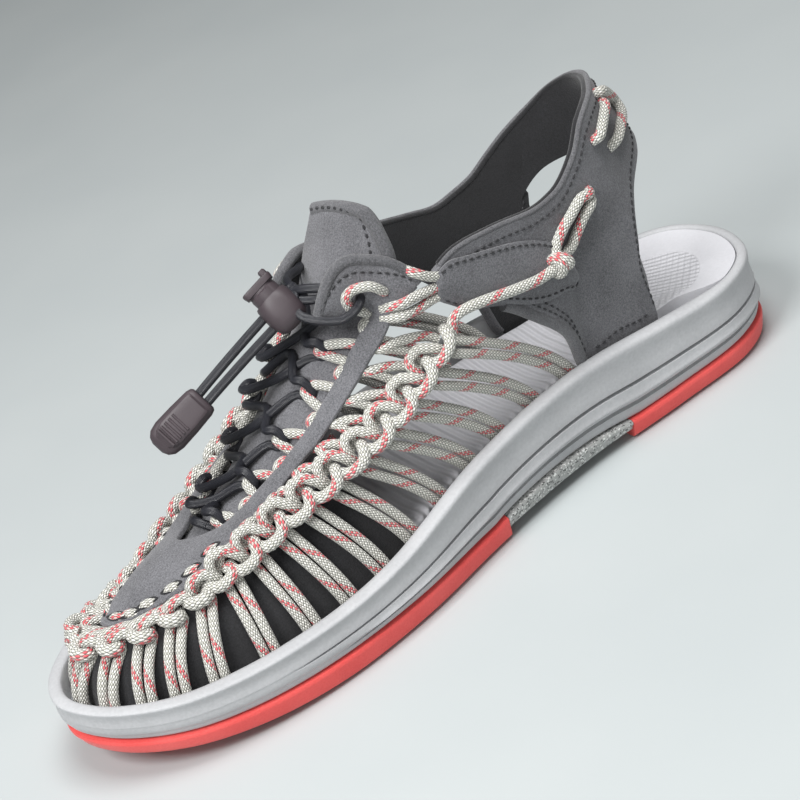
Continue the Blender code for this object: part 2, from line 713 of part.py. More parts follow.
def make_tails():
    frame = lock_frame()
    length, width, depth = CLIP_SIZE
    for name, side in (("lace_tail_a", 1), ("lace_tail_b", -1)):
        points = []
        for share in (0, 0.35, 0.7, 1):
            reach = LOCK_RADIUS - 1 + TAIL_LENGTH * share
            spread = HOLE_SPREAD + (TAIL_SPREAD_AT_CLIP - HOLE_SPREAD) * share
            sag = Vector((0, 0, -TAIL_SAG * share * share))
            points.append(np.array(frame @ Vector((reach, 0, side * spread)) + sag))
        tube(name, points, LACE, "elastic")
    bm = bmesh.new()
    bmesh.ops.create_cube(bm, size=1)
    bmesh.ops.scale(bm, vec=Vector((length, depth, width)) * MM, verts=bm.verts)
    clip = add_mesh("cord_end", bm, "lock plastic", PARTS)
    reach = LOCK_RADIUS - 1 + TAIL_LENGTH + GAP - CLIP_SOCKET + length / 2
    place = (frame @ Vector((reach, 0, 0)) - Vector((0, 0, TAIL_SAG))) * MM
    clip.matrix_world = Matrix.Translation(place) @ frame.to_3x3().to_4x4()
    bevel = clip.modifiers.new("round", "BEVEL")
    bevel.width = CLIP_ROUND * MM
    bevel.segments = 2
    opening = (2 * CLIP_SOCKET, LACE + 2 * HOLE_SLACK, 2 * TAIL_SPREAD_AT_CLIP + LACE + 2 * HOLE_SLACK)
    socket = box_cutter("clip_socket", opening, (-length / 2, 0, 0))
    socket.matrix_world = clip.matrix_world
    boolean(clip, socket, "DIFFERENCE")


MATERIALS = {}
clear_scene()
PARTS = new_collection("braided sandal")
CUTTERS = new_collection("cutters")
for material_name in COLOURS:
    MATERIALS[material_name] = make_material(material_name)
make_outsole()
make_midsole()
make_footbed()
make_upper()
make_tongue()
make_strap()
make_heel_cords()
make_lace()
make_lock()
make_tails()
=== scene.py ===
# %% [markdown]
# # A braided cord sandal
# One right sandal: two cords woven into a cage, a grey microfibre vamp panel, tongue and heel strap,
# an elastic lace with a cord lock, and a moulded sole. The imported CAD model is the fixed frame, and
# every visible piece is dressed in the same frame, in metres, with +X to the toe and +Z up.

# %% Load the frame
import math

import bpy
import numpy as np
from mathutils import Matrix, Vector


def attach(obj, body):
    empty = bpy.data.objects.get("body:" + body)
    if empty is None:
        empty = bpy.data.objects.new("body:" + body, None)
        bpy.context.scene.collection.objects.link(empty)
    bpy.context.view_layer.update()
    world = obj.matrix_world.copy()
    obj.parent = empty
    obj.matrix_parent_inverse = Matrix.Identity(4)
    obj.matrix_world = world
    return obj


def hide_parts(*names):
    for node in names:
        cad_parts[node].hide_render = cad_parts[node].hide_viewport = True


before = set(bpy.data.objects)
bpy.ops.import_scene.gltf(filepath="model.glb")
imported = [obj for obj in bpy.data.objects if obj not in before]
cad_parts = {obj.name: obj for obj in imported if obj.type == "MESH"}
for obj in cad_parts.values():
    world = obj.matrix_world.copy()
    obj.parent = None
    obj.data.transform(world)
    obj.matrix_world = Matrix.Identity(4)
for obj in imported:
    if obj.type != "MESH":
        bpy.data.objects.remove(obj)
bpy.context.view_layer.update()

MM = 0.001


def new_object(name, data):
    # Object in the collection of the scene
    item = bpy.data.objects.new(name, data)
    bpy.context.collection.objects.link(item)
    return item


# %% [markdown]
# ## Camera
# The picture is taken from the medial side, a little towards the toe and 30 degrees up, with the camera
# rolled to the slope that the sandal has in the photo. A long lens keeps the perspective weak.
# The three axes of the camera are worked out from azimuth, elevation and roll, because a matrix made
# from them is exact and needs no tracking constraint.

# %% Camera
AZIMUTH, ELEVATION, ROLL = (math.radians(angle) for angle in (157.3, 29.8, -22.0))
CAMERA_AIM = Vector((0.100, 0.0, 0.040))
CAMERA_DISTANCE = 0.743
IMAGE_WIDTH = 800
FOCAL_LENGTH, SENSOR = 101.7, 36.0
SHIFT_RIGHT, SHIFT_UP = -3.0, 17.8

back = Vector((math.sin(AZIMUTH) * math.cos(ELEVATION), -math.cos(AZIMUTH) * math.cos(ELEVATION),
               math.sin(ELEVATION)))
level = Vector((math.cos(AZIMUTH), math.sin(AZIMUTH), 0.0))
upright = back.cross(level)
right = level * math.cos(ROLL) + upright * math.sin(ROLL)
above = upright * math.cos(ROLL) - level * math.sin(ROLL)
lens = bpy.data.cameras.new("studio_camera")
lens.lens = FOCAL_LENGTH
lens.sensor_width = SENSOR
lens.shift_x = SHIFT_RIGHT / IMAGE_WIDTH
lens.shift_y = SHIFT_UP / IMAGE_WIDTH
camera = new_object("studio_camera", lens)
camera.matrix_world = Matrix((right, above, back)).transposed().to_4x4()
camera.matrix_world.translation = CAMERA_AIM + back * CAMERA_DISTANCE
bpy.context.scene.camera = camera
print("camera at", [round(value, 3) for value in camera.matrix_world.translation])

# %% [markdown]
# ## Nodes and colours
# Every finish is a node tree. One function adds a node with its settings and links, so a tree reads
# from top to bottom like a recipe. Colours are written as sRGB hex, as on a colour card, and turned
# to the linear values that Blender works in.

# %% Node and colour helpers
def linear(code):
    # sRGB hex to linear RGBA
    values = [int(code[i:i + 2], 16) / 255 for i in (1, 3, 5)]
    return tuple(v / 12.92 if v <= 0.04045 else ((v + 0.055) / 1.055) ** 2.4 for v in values) + (1.0,)


def add_node(tree, kind, links=None, **settings):
    # One node with its settings; each link is a socket name or number with a value or another socket
    node = tree.nodes.new(kind)
    for name, value in settings.items():
        setattr(node, name, value)
    for key, value in (links or {}).items():
        if isinstance(key, int):
            target = node.inputs[key]
        else:
            target = next(item for item in node.inputs if item.name == key and item.enabled)
        if isinstance(value, bpy.types.NodeSocket):
            tree.links.new(value, target)
        else:
            target.default_value = value
    return node


def new_material(name, roughness, **shader):
    # Material with one Principled shader, whose constants sit on its own sockets
    material = bpy.data.materials.new(name)
    material.use_nodes = True
    tree = material.node_tree
    tree.nodes.clear()
    surface = add_node(tree, "ShaderNodeBsdfPrincipled", {"Roughness": roughness})
    for socket, value in shader.items():
        surface.inputs[socket.replace("_", " ")].default_value = value
    add_node(tree, "ShaderNodeOutputMaterial", {"Surface": surface.outputs[0]})
    return material, tree, surface


def object_spot(tree):
    # Place on the object, in metres
    return add_node(tree, "ShaderNodeTexCoord").outputs["Object"]


def cord_map(tree):
    # Turns round the cord and millimetres along it
    chart = add_node(tree, "ShaderNodeUVMap", uv_map="UVMap").outputs[0]
    return add_node(tree, "ShaderNodeSeparateXYZ", {0: chart}).outputs


def calc(tree, operation, *values):
    # Result of one maths node
    return add_node(tree, "ShaderNodeMath", dict(enumerate(values)), operation=operation).outputs[0]


def noise(tree, spot, scale, detail, **more):
    # Cloudy values about one half
    sockets = {"Vector": spot, "Scale": scale, "Detail": detail, **more}
    return add_node(tree, "ShaderNodeTexNoise", sockets).outputs["Fac"]


def blend(tree, share, first, second):
    # Colour between two, each given as hex or as a socket
    ends = [linear(colour) if isinstance(colour, str) else colour for colour in (first, second)]
    return add_node(tree, "ShaderNodeMix", {0: share, 6: ends[0], 7: ends[1]}, data_type="RGBA").outputs[2]


def stretch(tree, value, low, high):
    # The range from low to high as 0 to 1
    sockets = {"Value": value, "From Min": low, "From Max": high}
    return add_node(tree, "ShaderNodeMapRange", sockets).outputs[0]


def bump(tree, strength, distance, height, **more):
    # Normals of a relief that is only shaded
    sockets = {"Strength": strength, "Distance": distance, "Height": height, **more}
    return add_node(tree, "ShaderNodeBump", sockets).outputs[0]


def paint(tree, surface, colour, relief=None):
    # Colour and relief on the shader
    tree.links.new(colour, surface.inputs["Base Color"])
    if relief is not None:
        tree.links.new(relief, surface.inputs["Normal"])


print("white card", linear("#FFFFFF"))

# %% [markdown]
# ## Floor and light
# The floor is a sheet of matt studio paper in pale grey with a very faint mottle. Light comes from a soft
# box above and in front of the toe, a second one overhead that reaches the footbed, and a weak third one
# on the medial side.

# %% Floor
paper, tree, surface = new_material("matt_studio_paper", 0.85)
spot = object_spot(tree)
mottle = noise(tree, spot, 12.0, 2.0)
shade = blend(tree, mottle, "#AAB0B1", "#B3B8B8")
paint(tree, surface, shade)
sweep_mesh = bpy.data.meshes.new("studio_floor")
FLOOR_HALF, FLOOR_Z = 3.0, -0.0002
corners = [(-FLOOR_HALF, -FLOOR_HALF), (FLOOR_HALF, -FLOOR_HALF), (FLOOR_HALF, FLOOR_HALF),
           (-FLOOR_HALF, FLOOR_HALF)]
sweep_mesh.from_pydata([(x, y, FLOOR_Z) for x, y in corners], [], [(0, 1, 2, 3)])
sweep_mesh.materials.append(paper)
studio_floor = new_object("studio_floor", sweep_mesh)
print("floor at", FLOOR_Z)

# %% Lights
def soft_box(name, place, size, power):
    # Square area light that looks at the sandal
    lamp = bpy.data.lights.new(name, "AREA")
    lamp.size = size
    lamp.energy = power
    turn = (CAMERA_AIM - Vector(place)).to_track_quat("-Z", "Y")
    item = new_object(name, lamp)
    item.matrix_world = Matrix.Translation(Vector(place)) @ turn.to_matrix().to_4x4()


soft_box("key_box", (0.80, 0.30, 0.90), 0.42, 12.0)
soft_box("top_box", (0.05, 0.20, 1.10), 0.5, 10.0)
soft_box("side_box", (0.50, 1.00, 0.50), 0.6, 2.6)
AIR_STRENGTH = 0.2
world = bpy.data.worlds.new("studio_air")
world.use_nodes = True
air = world.node_tree.nodes["Background"].inputs
air["Color"].default_value = linear("#EDEEEE")
air["Strength"].default_value = AIR_STRENGTH
bpy.context.scene.world = world
bpy.context.scene.view_settings.view_transform = "Standard"

# %% [markdown]
# ## Smooth lines
# Almost everything on this sandal follows a line: the outline of the sole, the braid, the laces.
# Each line is a short table of points in millimetres with a centripetal curve through them, which
# neither overshoots nor loops where points lie unevenly.

# %% Line helpers
def unit(vectors):
    # The same directions at length one
    vectors = np.asarray(vectors, float)
    return vectors / np.maximum(np.linalg.norm(vectors, axis=-1, keepdims=True), 1e-9)


def catmull(p0, p1, p2, p3, share):
    # Point between p1 and p2 on a centripetal curve through four points
    level_points = [np.asarray(p, float) for p in (p0, p1, p2, p3)]
    knots = [0.0]
    for a, b in zip(level_points, level_points[1:]):
        knots.append(knots[-1] + max(np.linalg.norm(b - a), 1e-6) ** 0.5)
    t = knots[1] + (knots[2] - knots[1]) * share
    for pairs in ([(0, 1), (1, 2), (2, 3)], [(0, 2), (1, 3)], [(1, 2)]):
        blended = []
        for i, (a, b) in enumerate(pairs):
            weight = (t - knots[a]) / (knots[b] - knots[a])
            blended.append(level_points[i] * (1 - weight) + level_points[i + 1] * weight)
        level_points = blended
    return level_points[0]


def through(points, steps, closed=False):
    # Smooth curve through the points, with the given steps in each span
    count = len(points)
    result = []
    for i in range(count if closed else count - 1):
        if closed:
            four = [points[(i + k) % count] for k in (-1, 0, 1, 2)]
        else:
            a, b = np.asarray(points[i], float), np.asarray(points[i + 1], float)
            before = points[i - 1] if i else 2 * a - b
            after = points[i + 2] if i + 2 < count else 2 * b - a
            four = [before, a, b, after]
        result += [catmull(*four, k / steps) for k in range(steps)]
    if not closed:
        result.append(np.asarray(points[-1], float))
    return np.array(result)


def line_length(curve):
    return np.linalg.norm(np.diff(curve, axis=0), axis=1).sum()


def even(curve, places):
    # Points at shares of the length of a curve, or that many equal steps
    steps = np.linalg.norm(np.diff(curve, axis=0), axis=1)
    run = np.concatenate([[0], np.cumsum(steps)]) / steps.sum()
    shares = np.linspace(0, 1, places) if np.isscalar(places) else np.asarray(places, float)
    return np.stack([np.interp(shares, run, curve[:, k]) for k in range(curve.shape[1])], 1)


def at_row(row, rows, curve):
    # Point of a curve at a row of its table
    return np.array([np.interp(row, rows, curve[:, k]) for k in range(3)])


def share_between(x, start, end):
    # How far x has come from start to end, held between 0 and 1
    return np.clip((np.asarray(x) - start) / (end - start), 0, 1)


def bow(start, knee, end, share):
    # Bend from start to end that leans to the knee
    return start * (1 - share) ** 2 + knee * 2 * share * (1 - share) + end * share ** 2


print("quarter of a bend", through([(0, 0, 0), (1, 0, 0), (1, 1, 0)], 4).round(2).tolist()[2])

# %% [markdown]
# ## Pieces
# A finished piece is a plain mesh at the origin with its place in its points. It rides on a body of the
# frame and hides the CAD nodes it stands for.

# %% Piece helpers
def grid_faces(rows, columns, closed=False):
    # Quads of a grid of points stored row by row
    faces = []
    for i in range(rows - 1):
        for j in range(columns if closed else columns - 1):
            k = (j + 1) % columns
            faces.append((i * columns + j, i * columns + k, (i + 1) * columns + k, (i + 1) * columns + j))
    return faces


def new_piece(name, points, faces, material, crease=40.0):
    # Mesh object from points in millimetres
    mesh = bpy.data.meshes.new(name)
    mesh.from_pydata((np.asarray(points, float).reshape(-1, 3) * MM).tolist(), [], faces)
    mesh.materials.append(material)
    mesh.shade_smooth()
    mesh.set_sharp_from_angle(angle=math.radians(crease))
    return new_object(name, mesh)


def plain_mesh(item, crease=40.0):
    # The object with its modifiers worked into a plain mesh
    seen = item.evaluated_get(bpy.context.evaluated_depsgraph_get())
    mesh = bpy.data.meshes.new_from_object(seen)
    name = item.name
    bpy.data.objects.remove(item)
    mesh.name = name
    mesh.shade_smooth()
    mesh.set_sharp_from_angle(angle=math.radians(crease))
    return new_object(name, mesh)


def settle(item, slot, *nodes, body="shoe"):
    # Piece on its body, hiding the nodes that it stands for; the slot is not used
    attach(item, body)
    if nodes:
        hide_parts(*nodes)
    print(item.name, len(item.data.polygons), "faces")
    return item


# %% [markdown]
# ## Cords by Geometry Nodes
# A cord is a round sheath along a path. It could be a curve with a bevel, but then the weave would have
# no map to follow. Here a node tree sweeps a ring along every path of one object at once, and stores how
# far along the cord and how far round it each corner lies. The sheath patterns read that map.

# %% Tree that sweeps cords
def new_tree(name, inputs):
    # Geometry node tree with named inputs, and its input sockets
    tree = bpy.data.node_groups.new(name, "GeometryNodeTree")
    tree.interface.new_socket("Geometry", in_out="INPUT", socket_type="NodeSocketGeometry")
    for label, kind, value in inputs:
        socket = tree.interface.new_socket(label, in_out="INPUT", socket_type=kind)
        if value is not None:
            socket.default_value = value
    tree.interface.new_socket("Geometry", in_out="OUTPUT", socket_type="NodeSocketGeometry")
    return tree, add_node(tree, "NodeGroupInput").outputs


def end_tree(tree, geometry, material):
    # Every tree ends in realised, painted geometry
    whole = add_node(tree, "GeometryNodeRealizeInstances", {"Geometry": geometry})
    painted = add_node(tree, "GeometryNodeSetMaterial", {"Geometry": whole.outputs[0], "Material": material})
    add_node(tree, "NodeGroupOutput", {0: painted.outputs[0]})


def store(tree, geometry, name, value, domain="POINT", data_type="FLOAT"):
    # Geometry that carries a named value
    sockets = {"Geometry": geometry, "Name": name, "Value": value}
    node = add_node(tree, "GeometryNodeStoreNamedAttribute", sockets, domain=domain, data_type=data_type)
    return node.outputs[0]


def recall(tree, name):
    # The value that was stored under a name
    return add_node(tree, "GeometryNodeInputNamedAttribute", {"Name": name}, data_type="FLOAT").outputs[0]


cord_tree, given = new_tree("cord_sheath", [
    ("Thickness", "NodeSocketFloat", 0.004), ("Sides", "NodeSocketInt", 12), ("Seed", "NodeSocketInt", 5),
    ("Material", "NodeSocketMaterial", None),
])
tree = cord_tree
run = add_node(tree, "GeometryNodeSplineParameter").outputs["Length"]
which = add_node(tree, "GeometryNodeCurveOfPoint").outputs["Curve Index"]
shift = add_node(tree, "FunctionNodeRandomValue", {2: 0.0, 3: 0.06, "ID": which, "Seed": given["Seed"]},
                 data_type="FLOAT").outputs[1]
metres = calc(tree, "ADD", run, shift)
along = calc(tree, "MULTIPLY", metres, 1000.0)
marked = store(tree, given["Geometry"], "along", along)
radius = calc(tree, "MULTIPLY", given["Thickness"], 0.5)
loop = add_node(tree, "GeometryNodeCurvePrimitiveCircle", {"Resolution": given["Sides"], "Radius": radius})
place = add_node(tree, "GeometryNodeInputIndex").outputs[0]
turn = calc(tree, "DIVIDE", place, given["Sides"])
profile = store(tree, loop.outputs["Curve"], "around", turn)
tube = add_node(tree, "GeometryNodeCurveToMesh",
                {"Curve": marked, "Profile Curve": profile, "Fill Caps": True})
around = recall(tree, "around")
middle = add_node(tree, "GeometryNodeFieldOnDomain", {"Value": around}, domain="FACE",
                  data_type="FLOAT").outputs[0]
behind = calc(tree, "SUBTRACT", middle, around)
wrapped = calc(tree, "GREATER_THAN", behind, 0.25)
whole_turn = calc(tree, "ADD", around, wrapped)
chart = add_node(tree, "ShaderNodeCombineXYZ", {"X": whole_turn, "Y": recall(tree, "along")}).outputs[0]
mapped = store(tree, tube.outputs[0], "UVMap", chart, "CORNER", "FLOAT2")
smooth = add_node(tree, "GeometryNodeSetShadeSmooth", {"Geometry": mapped})
end_tree(tree, smooth.outputs[0], given["Material"])
print("cord tree", len(cord_tree.nodes), "nodes")

# %% Run a tree along paths
def along_paths(name, paths, tree, material, **inputs):
    # One plain mesh from a node tree that runs along paths given in millimetres
    data = bpy.data.curves.new(name, "CURVE")
    data.dimensions = "3D"
    for path in paths:
        spline = data.splines.new("POLY")
        spline.points.add(len(path) - 1)
        spline.points.foreach_set("co", np.column_stack([np.asarray(path) * MM, np.ones(len(path))]).ravel())
    lines = new_object(name + "_lines", data)
    modifier = lines.modifiers.new("tree", "NODES")
    modifier.node_group = tree
    for item in tree.interface.items_tree:
        if item.in_out == "INPUT" and item.name in inputs:
            modifier[item.identifier] = inputs[item.name]
        if item.in_out == "INPUT" and item.name == "Material":
            modifier[item.identifier] = material
    seen = lines.evaluated_get(bpy.context.evaluated_depsgraph_get())
    mesh = bpy.data.meshes.new_from_object(seen)
    mesh.name = name
    mesh.materials.clear()
    mesh.materials.append(material)
    bpy.data.objects.remove(lines)
    return new_object(name, mesh)


def cord_piece(name, paths, thickness, material, slot, *nodes, **inputs):
    # Round cords or rolls of one thickness in millimetres, settled on the shoe
    item = along_paths(name, paths, cord_tree, material, Thickness=thickness * MM, **inputs)
    return settle(item, slot, *nodes)


# %% [markdown]
# ## Elastic lace finish
# The lace is a bungee: rubber strands under a braided polyester jacket, dark grey, with fine ribs along its
# length and a satin gleam. Ribs are drawn from the map round the cord, with lighter crests and darker troughs
# painted in as painted shade.

# %% Elastic lace material
elastic, tree, surface = new_material("braided_polyester_bungee", 0.34, Specular_IOR_Level=0.4)
parts = cord_map(tree)
LACE_RIBS, RIB_LEAN = 22, 0.3
rib_turn = calc(tree, "MULTIPLY", parts[0], LACE_RIBS * math.pi)
rib_lean = calc(tree, "MULTIPLY_ADD", parts[1], RIB_LEAN, rib_turn)
rib = calc(tree, "SINE", rib_lean)
rise = calc(tree, "ABSOLUTE", rib)
# Rib crests are painted lighter and troughs darker: painted shade on the ribs
tint = blend(tree, rise, "#141418", "#2B2C32")
relief = bump(tree, 0.5, 0.0003, rise)
paint(tree, surface, tint, relief)
print(elastic.name)

# %% [markdown]
# ## Lace tails
# The two ends of the lace leave the cord lock and run side by side to the end clip. They are the free
# cords of this sandal: 33 mm long, 3 mm thick, stiff enough at this length to stand out with a small sag.
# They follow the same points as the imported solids.

# %% Lace tails
LOCK_CENTRE = Vector((126.5, 6.0, 101.0))
TAIL_AXIS = Vector((0.918, -0.15, -0.37)).normalized()
LOCK_AXIS = Vector((0.34, -0.60, 0.72))
HOLE_SPREAD, TAIL_START, TAIL_LENGTH, TAIL_SAG, SPREAD_AT_CLIP = 2.2, 6.0, 33.0, 1.0, 1.8
LACE = 3.0
lock_out = (LOCK_AXIS - TAIL_AXIS * LOCK_AXIS.dot(TAIL_AXIS)).normalized()
lock_side = lock_out.cross(TAIL_AXIS)


def lock_point(x, y, z):
    # Point in the lock's own axes: along the tails, across, and out of the barrel's mouth
    return np.array(LOCK_CENTRE + TAIL_AXIS * x + lock_side * y + lock_out * z)


for name, side in (("lace_tail_a", -1), ("lace_tail_b", 1)):
    points = []
    for share in (0.0, 0.35, 0.7, 1.0):
        spread = (HOLE_SPREAD + (SPREAD_AT_CLIP - HOLE_SPREAD) * share) * side
        sag = np.array([0, 0, TAIL_SAG * share ** 2])
        points.append(lock_point(TAIL_START + TAIL_LENGTH * share, 0, spread) - sag)
    path = through(points, 8)
    tail = cord_piece(name + "_cord", [path], LACE, elastic, "elastic", name, Sides=16)

# %% [markdown]
# ## Moulded lock plastic
# Lock and clip are injection-moulded acetal in a warm grey. A spark-eroded mould gives a fine matt grain
# that only breaks up the gleam, and the colour is faintly cloudy.

# %% Lock plastic material
plastic, tree, surface = new_material("moulded_acetal", 0.5, IOR=1.48)
spot = object_spot(tree)
ACETAL_GRAIN = 0.5 * MM
grain = noise(tree, spot, 1 / ACETAL_GRAIN, 3.0)
cloud = noise(tree, spot, 160.0, 2.0)
tint = blend(tree, cloud, "#383034", "#483F43")
relief = bump(tree, 0.18, 0.00015, grain)
paint(tree, surface, tint, relief)
print(plastic.name)

# %% [markdown]
# ## End clip
# The clip is a moulded shell with a hinged flap that bites the two lace ends; the flap has a few
# grip ridges. Shell and flap are lofts of rounded sections, because a bevelled box would lack the
# pinched mouth.

# %% Rounded sections and the clip
def rounded_section(half_width, half_depth, power=3.2, count=32):
    # Superellipse in the plane of width and depth
    angles = np.linspace(0, 2 * math.pi, count, endpoint=False)
    cosine, sine = np.cos(angles), np.sin(angles)
    return np.column_stack([half_width * np.sign(cosine) * np.abs(cosine) ** (2 / power),
                            half_depth * np.sign(sine) * np.abs(sine) ** (2 / power)])


def capped_loft(name, rings, material, crease=40.0):
    # Closed body from rings of equal count; each end closes on its own middle
    rings = [np.asarray(points, float) for points in rings]
    count = len(rings[0])
    points = np.concatenate(rings + [rings[0].mean(0)[None], rings[-1].mean(0)[None]])
    first, last = len(points) - 2, len(points) - 1
    faces = grid_faces(len(rings), count, closed=True)
    top = (len(rings) - 1) * count
    for i in range(count):
        j = (i + 1) % count
        faces.append((j, i, first))
        faces.append((top + i, top + j, last))
    return new_piece(name, points, faces, material, crease)


CLIP_GAP, CLIP_BITE = 0.3, 3.0
CLIP_FROM = TAIL_START + TAIL_LENGTH + CLIP_GAP - CLIP_BITE
CLIP_DROP = np.array([0, 0, TAIL_SAG])


def clip_ring(x, half_width, half_depth, shift):
    # Section of the clip at a distance from its mouth
    section = rounded_section(half_width, half_depth)
    return [lock_point(CLIP_FROM + x, shift + depth, width) - CLIP_DROP for width, depth in section]


CLIP_SHELL = [
    (0.0, 4.2, 2.6, 0.0), (0.5, 4.9, 3.2, 0.0), (2.0, 5.4, 3.6, 0.0), (9.0, 5.8, 3.7, -0.2),
    (15.5, 5.9, 3.6, -0.3), (18.5, 5.3, 3.2, -0.4), (20.2, 4.0, 2.4, -0.5), (21.0, 2.2, 1.2, -0.6),
]
CLIP_FLAP = [
    (1.6, 3.9, 0.4, 3.4), (2.2, 4.3, 0.9, 3.5), (8.0, 4.6, 1.1, 3.5), (14.0, 4.6, 1.1, 3.3),
    (17.2, 3.8, 0.9, 3.0), (18.4, 2.6, 0.4, 2.7),
]
RIDGES, RIDGE_WIDTHS = (10.0, 11.7, 13.4, 15.1, 16.6), np.linspace(-3.4, 3.4, 7)
RIDGE, RIDGE_LIFT = 1.0, 4.35
shell = capped_loft("clip_shell", [clip_ring(*row) for row in CLIP_SHELL], plastic)
flap = capped_loft("clip_flap", [clip_ring(*row) for row in CLIP_FLAP], plastic)
settle(shell, "lock_plastic", "cord_end")
settle(flap, "lock_plastic", "cord_end")
ridge_rows = [[lock_point(CLIP_FROM + x, RIDGE_LIFT, width) - CLIP_DROP for width in RIDGE_WIDTHS]
              for x in RIDGES]
ridges = cord_piece("clip_ridges", ridge_rows, RIDGE, plastic, "lock_plastic", "cord_end", Sides=8)
print("clip", CLIP_SHELL[-1][0], "mm long")

# %% [markdown]
# ## Sole lines
# The sole is drawn as shoemakers draw it: one outline in plan, and heights along the length for the
# top of the outsole, the channel floor, the footbed and the crest of the rim. Every ring of the moulded
# sole is the outline moved in or out at one of those heights.

# %% Sole tables and rings
OUTLINE = [
    (-40, 0), (-33.5, 20), (-18, 29.5), (14, 31.5), (54, 31.5), (94, 37), (135, 46.5), (170, 49.5),
    (200, 46.5), (223, 38.5), (239, 25), (246, 9), (243, -5), (232, -20), (217, -32), (195, -43),
    (165, -48.5), (125, -47.5), (75, -41), (25, -34.5), (-18, -31.5), (-33.5, -21),
]
HEIGHTS = ("x", "outsole", "floor", "bed", "rim")
SOLE_STATIONS = np.array([
    (-40, 8.5, 26.0, 30.6, 32.4), (-5, 7.5, 25.5, 29.2, 31.7), (45, 7.5, 27.0, 31.0, 35.4),
    (95, 8.0, 22.5, 27.0, 32.5), (145, 8.5, 15.0, 19.5, 24.4), (185, 9.5, 14.5, 18.6, 23.4),
    (215, 11.8, 16.6, 20.6, 24.6), (246, 16.8, 21.0, 24.2, 28.6),
], float)
TOE_TIP, TOE_SPRING, SPRING_START = 246.0, 11.0, 155.0
OUTLINE_STEPS = 9
SOLE_GAP = 0.3
ARCH_FROM, ARCH_TO, ARCH_RISE = 34.0, 98.0, 2.4


def station(x, column):
    # Smooth height along the sole
    fine = through(SOLE_STATIONS[:, [0, HEIGHTS.index(column)]], 8)
    return np.interp(x, fine[:, 0], fine[:, 1])


def ground(x):
    # Underside: flat from heel to ball, then the toe spring
    return TOE_SPRING * share_between(x, SPRING_START, TOE_TIP) ** 2


def parting(x):
    # Line between midsole and outsole, which climbs over the arch bridge
    share = share_between(x, ARCH_FROM, ARCH_TO)
    return station(x, "outsole") + ARCH_RISE * np.sin(math.pi * share) ** 0.7


def outline(inset, steps=OUTLINE_STEPS):
    # Outline moved inwards by a distance, which may differ from point to point
    curve = through(OUTLINE, steps, closed=True)
    ahead = unit(np.roll(curve, -1, 0) - np.roll(curve, 1, 0))
    inward = np.stack([ahead[:, 1], -ahead[:, 0]], 1)
    return curve + inward * np.broadcast_to(inset, len(curve))[:, None]


def ring(inset, height):
    # Outline moved in, at a height or along a height function
    flat = outline(inset)
    z = height(flat[:, 0]) if callable(height) else height
    return np.column_stack([flat, np.broadcast_to(z, len(flat))])


SOLE_X = through(OUTLINE, OUTLINE_STEPS, closed=True)[:, 0]
print("sole ring", len(SOLE_X), "points")

# %% [markdown]
# ## Foam and rubber finishes
# The midsole is moulded EVA: a soft matt skin with faint pebbling, whose hollows are painted slightly greyer
# as painted shade. The footbed is the same foam in a paler mix with moulded ribs. The outsole is carbon-free
# coral rubber, dull, with a fine grain and paler clouds. The arch bridge is foam with dark and pale regrind
# specks. All of them carry the same painted shade in the hollows of their grain.

# %% Sole materials
def foam_material(name, low, high, grain_mm, roughness, depth):
    # Moulded foam or rubber: cloudy colour, fine grain with painted shade in its hollows, and a little relief
    material, tree, surface = new_material(name, roughness, Sheen_Weight=0.12, Sheen_Roughness=0.5)
    spot = object_spot(tree)
    cloud = noise(tree, spot, 45.0, 3.0)
    grain = noise(tree, spot, 1000.0 / grain_mm, 2.0)
    # The grain that raises the relief also darkens the colour where it sinks: painted shade in the hollows
    mixed = calc(tree, "MULTIPLY_ADD", grain, 0.6, cloud)
    spread = stretch(tree, mixed, 0.45, 1.15)
    tint = blend(tree, spread, low, high)
    relief = bump(tree, depth, 0.0003, grain)
    paint(tree, surface, tint, relief)
    return material, tree, surface, tint, relief, spot


midsole_foam = foam_material("moulded_eva_midsole", "#A2A3A5", "#B8B9BB", 1.1, 0.62, 0.22)[0]
coral_rubber = foam_material("coral_outsole_rubber", "#E24744", "#F0625E", 0.7, 0.7, 0.45)[0]
arch_foam, tree, surface, tint, _, spot = foam_material("speckled_regrind_foam", "#9C9D9B", "#B2B3B1",
                                                        0.9, 0.75, 0.35)
SPECK, SPECK_SHARE = 0.6 * MM, 0.14
cells = add_node(tree, "ShaderNodeTexVoronoi", {"Vector": spot, "Scale": 1 / SPECK},
                 feature="F1").outputs["Color"]
dots = add_node(tree, "ShaderNodeSeparateColor", {0: cells}).outputs[0]
dark = calc(tree, "LESS_THAN", dots, SPECK_SHARE)
pale = calc(tree, "GREATER_THAN", dots, 1 - SPECK_SHARE)
speckled = blend(tree, dark, tint, "#5E5F5E")
flecked = blend(tree, pale, speckled, "#DADBD8")
paint(tree, surface, flecked)
print([item.name for item in (midsole_foam, coral_rubber, arch_foam)])

# %% [markdown]
# ## Midsole
# The midsole is one moulding with a raised rim that holds the footbed, a channel where the cords go down,
# and along its side a sharp groove, a bead and a softer groove that fade towards the toe.
# It is lofted from rings, so the grooves stay crisp and follow the outline exactly.

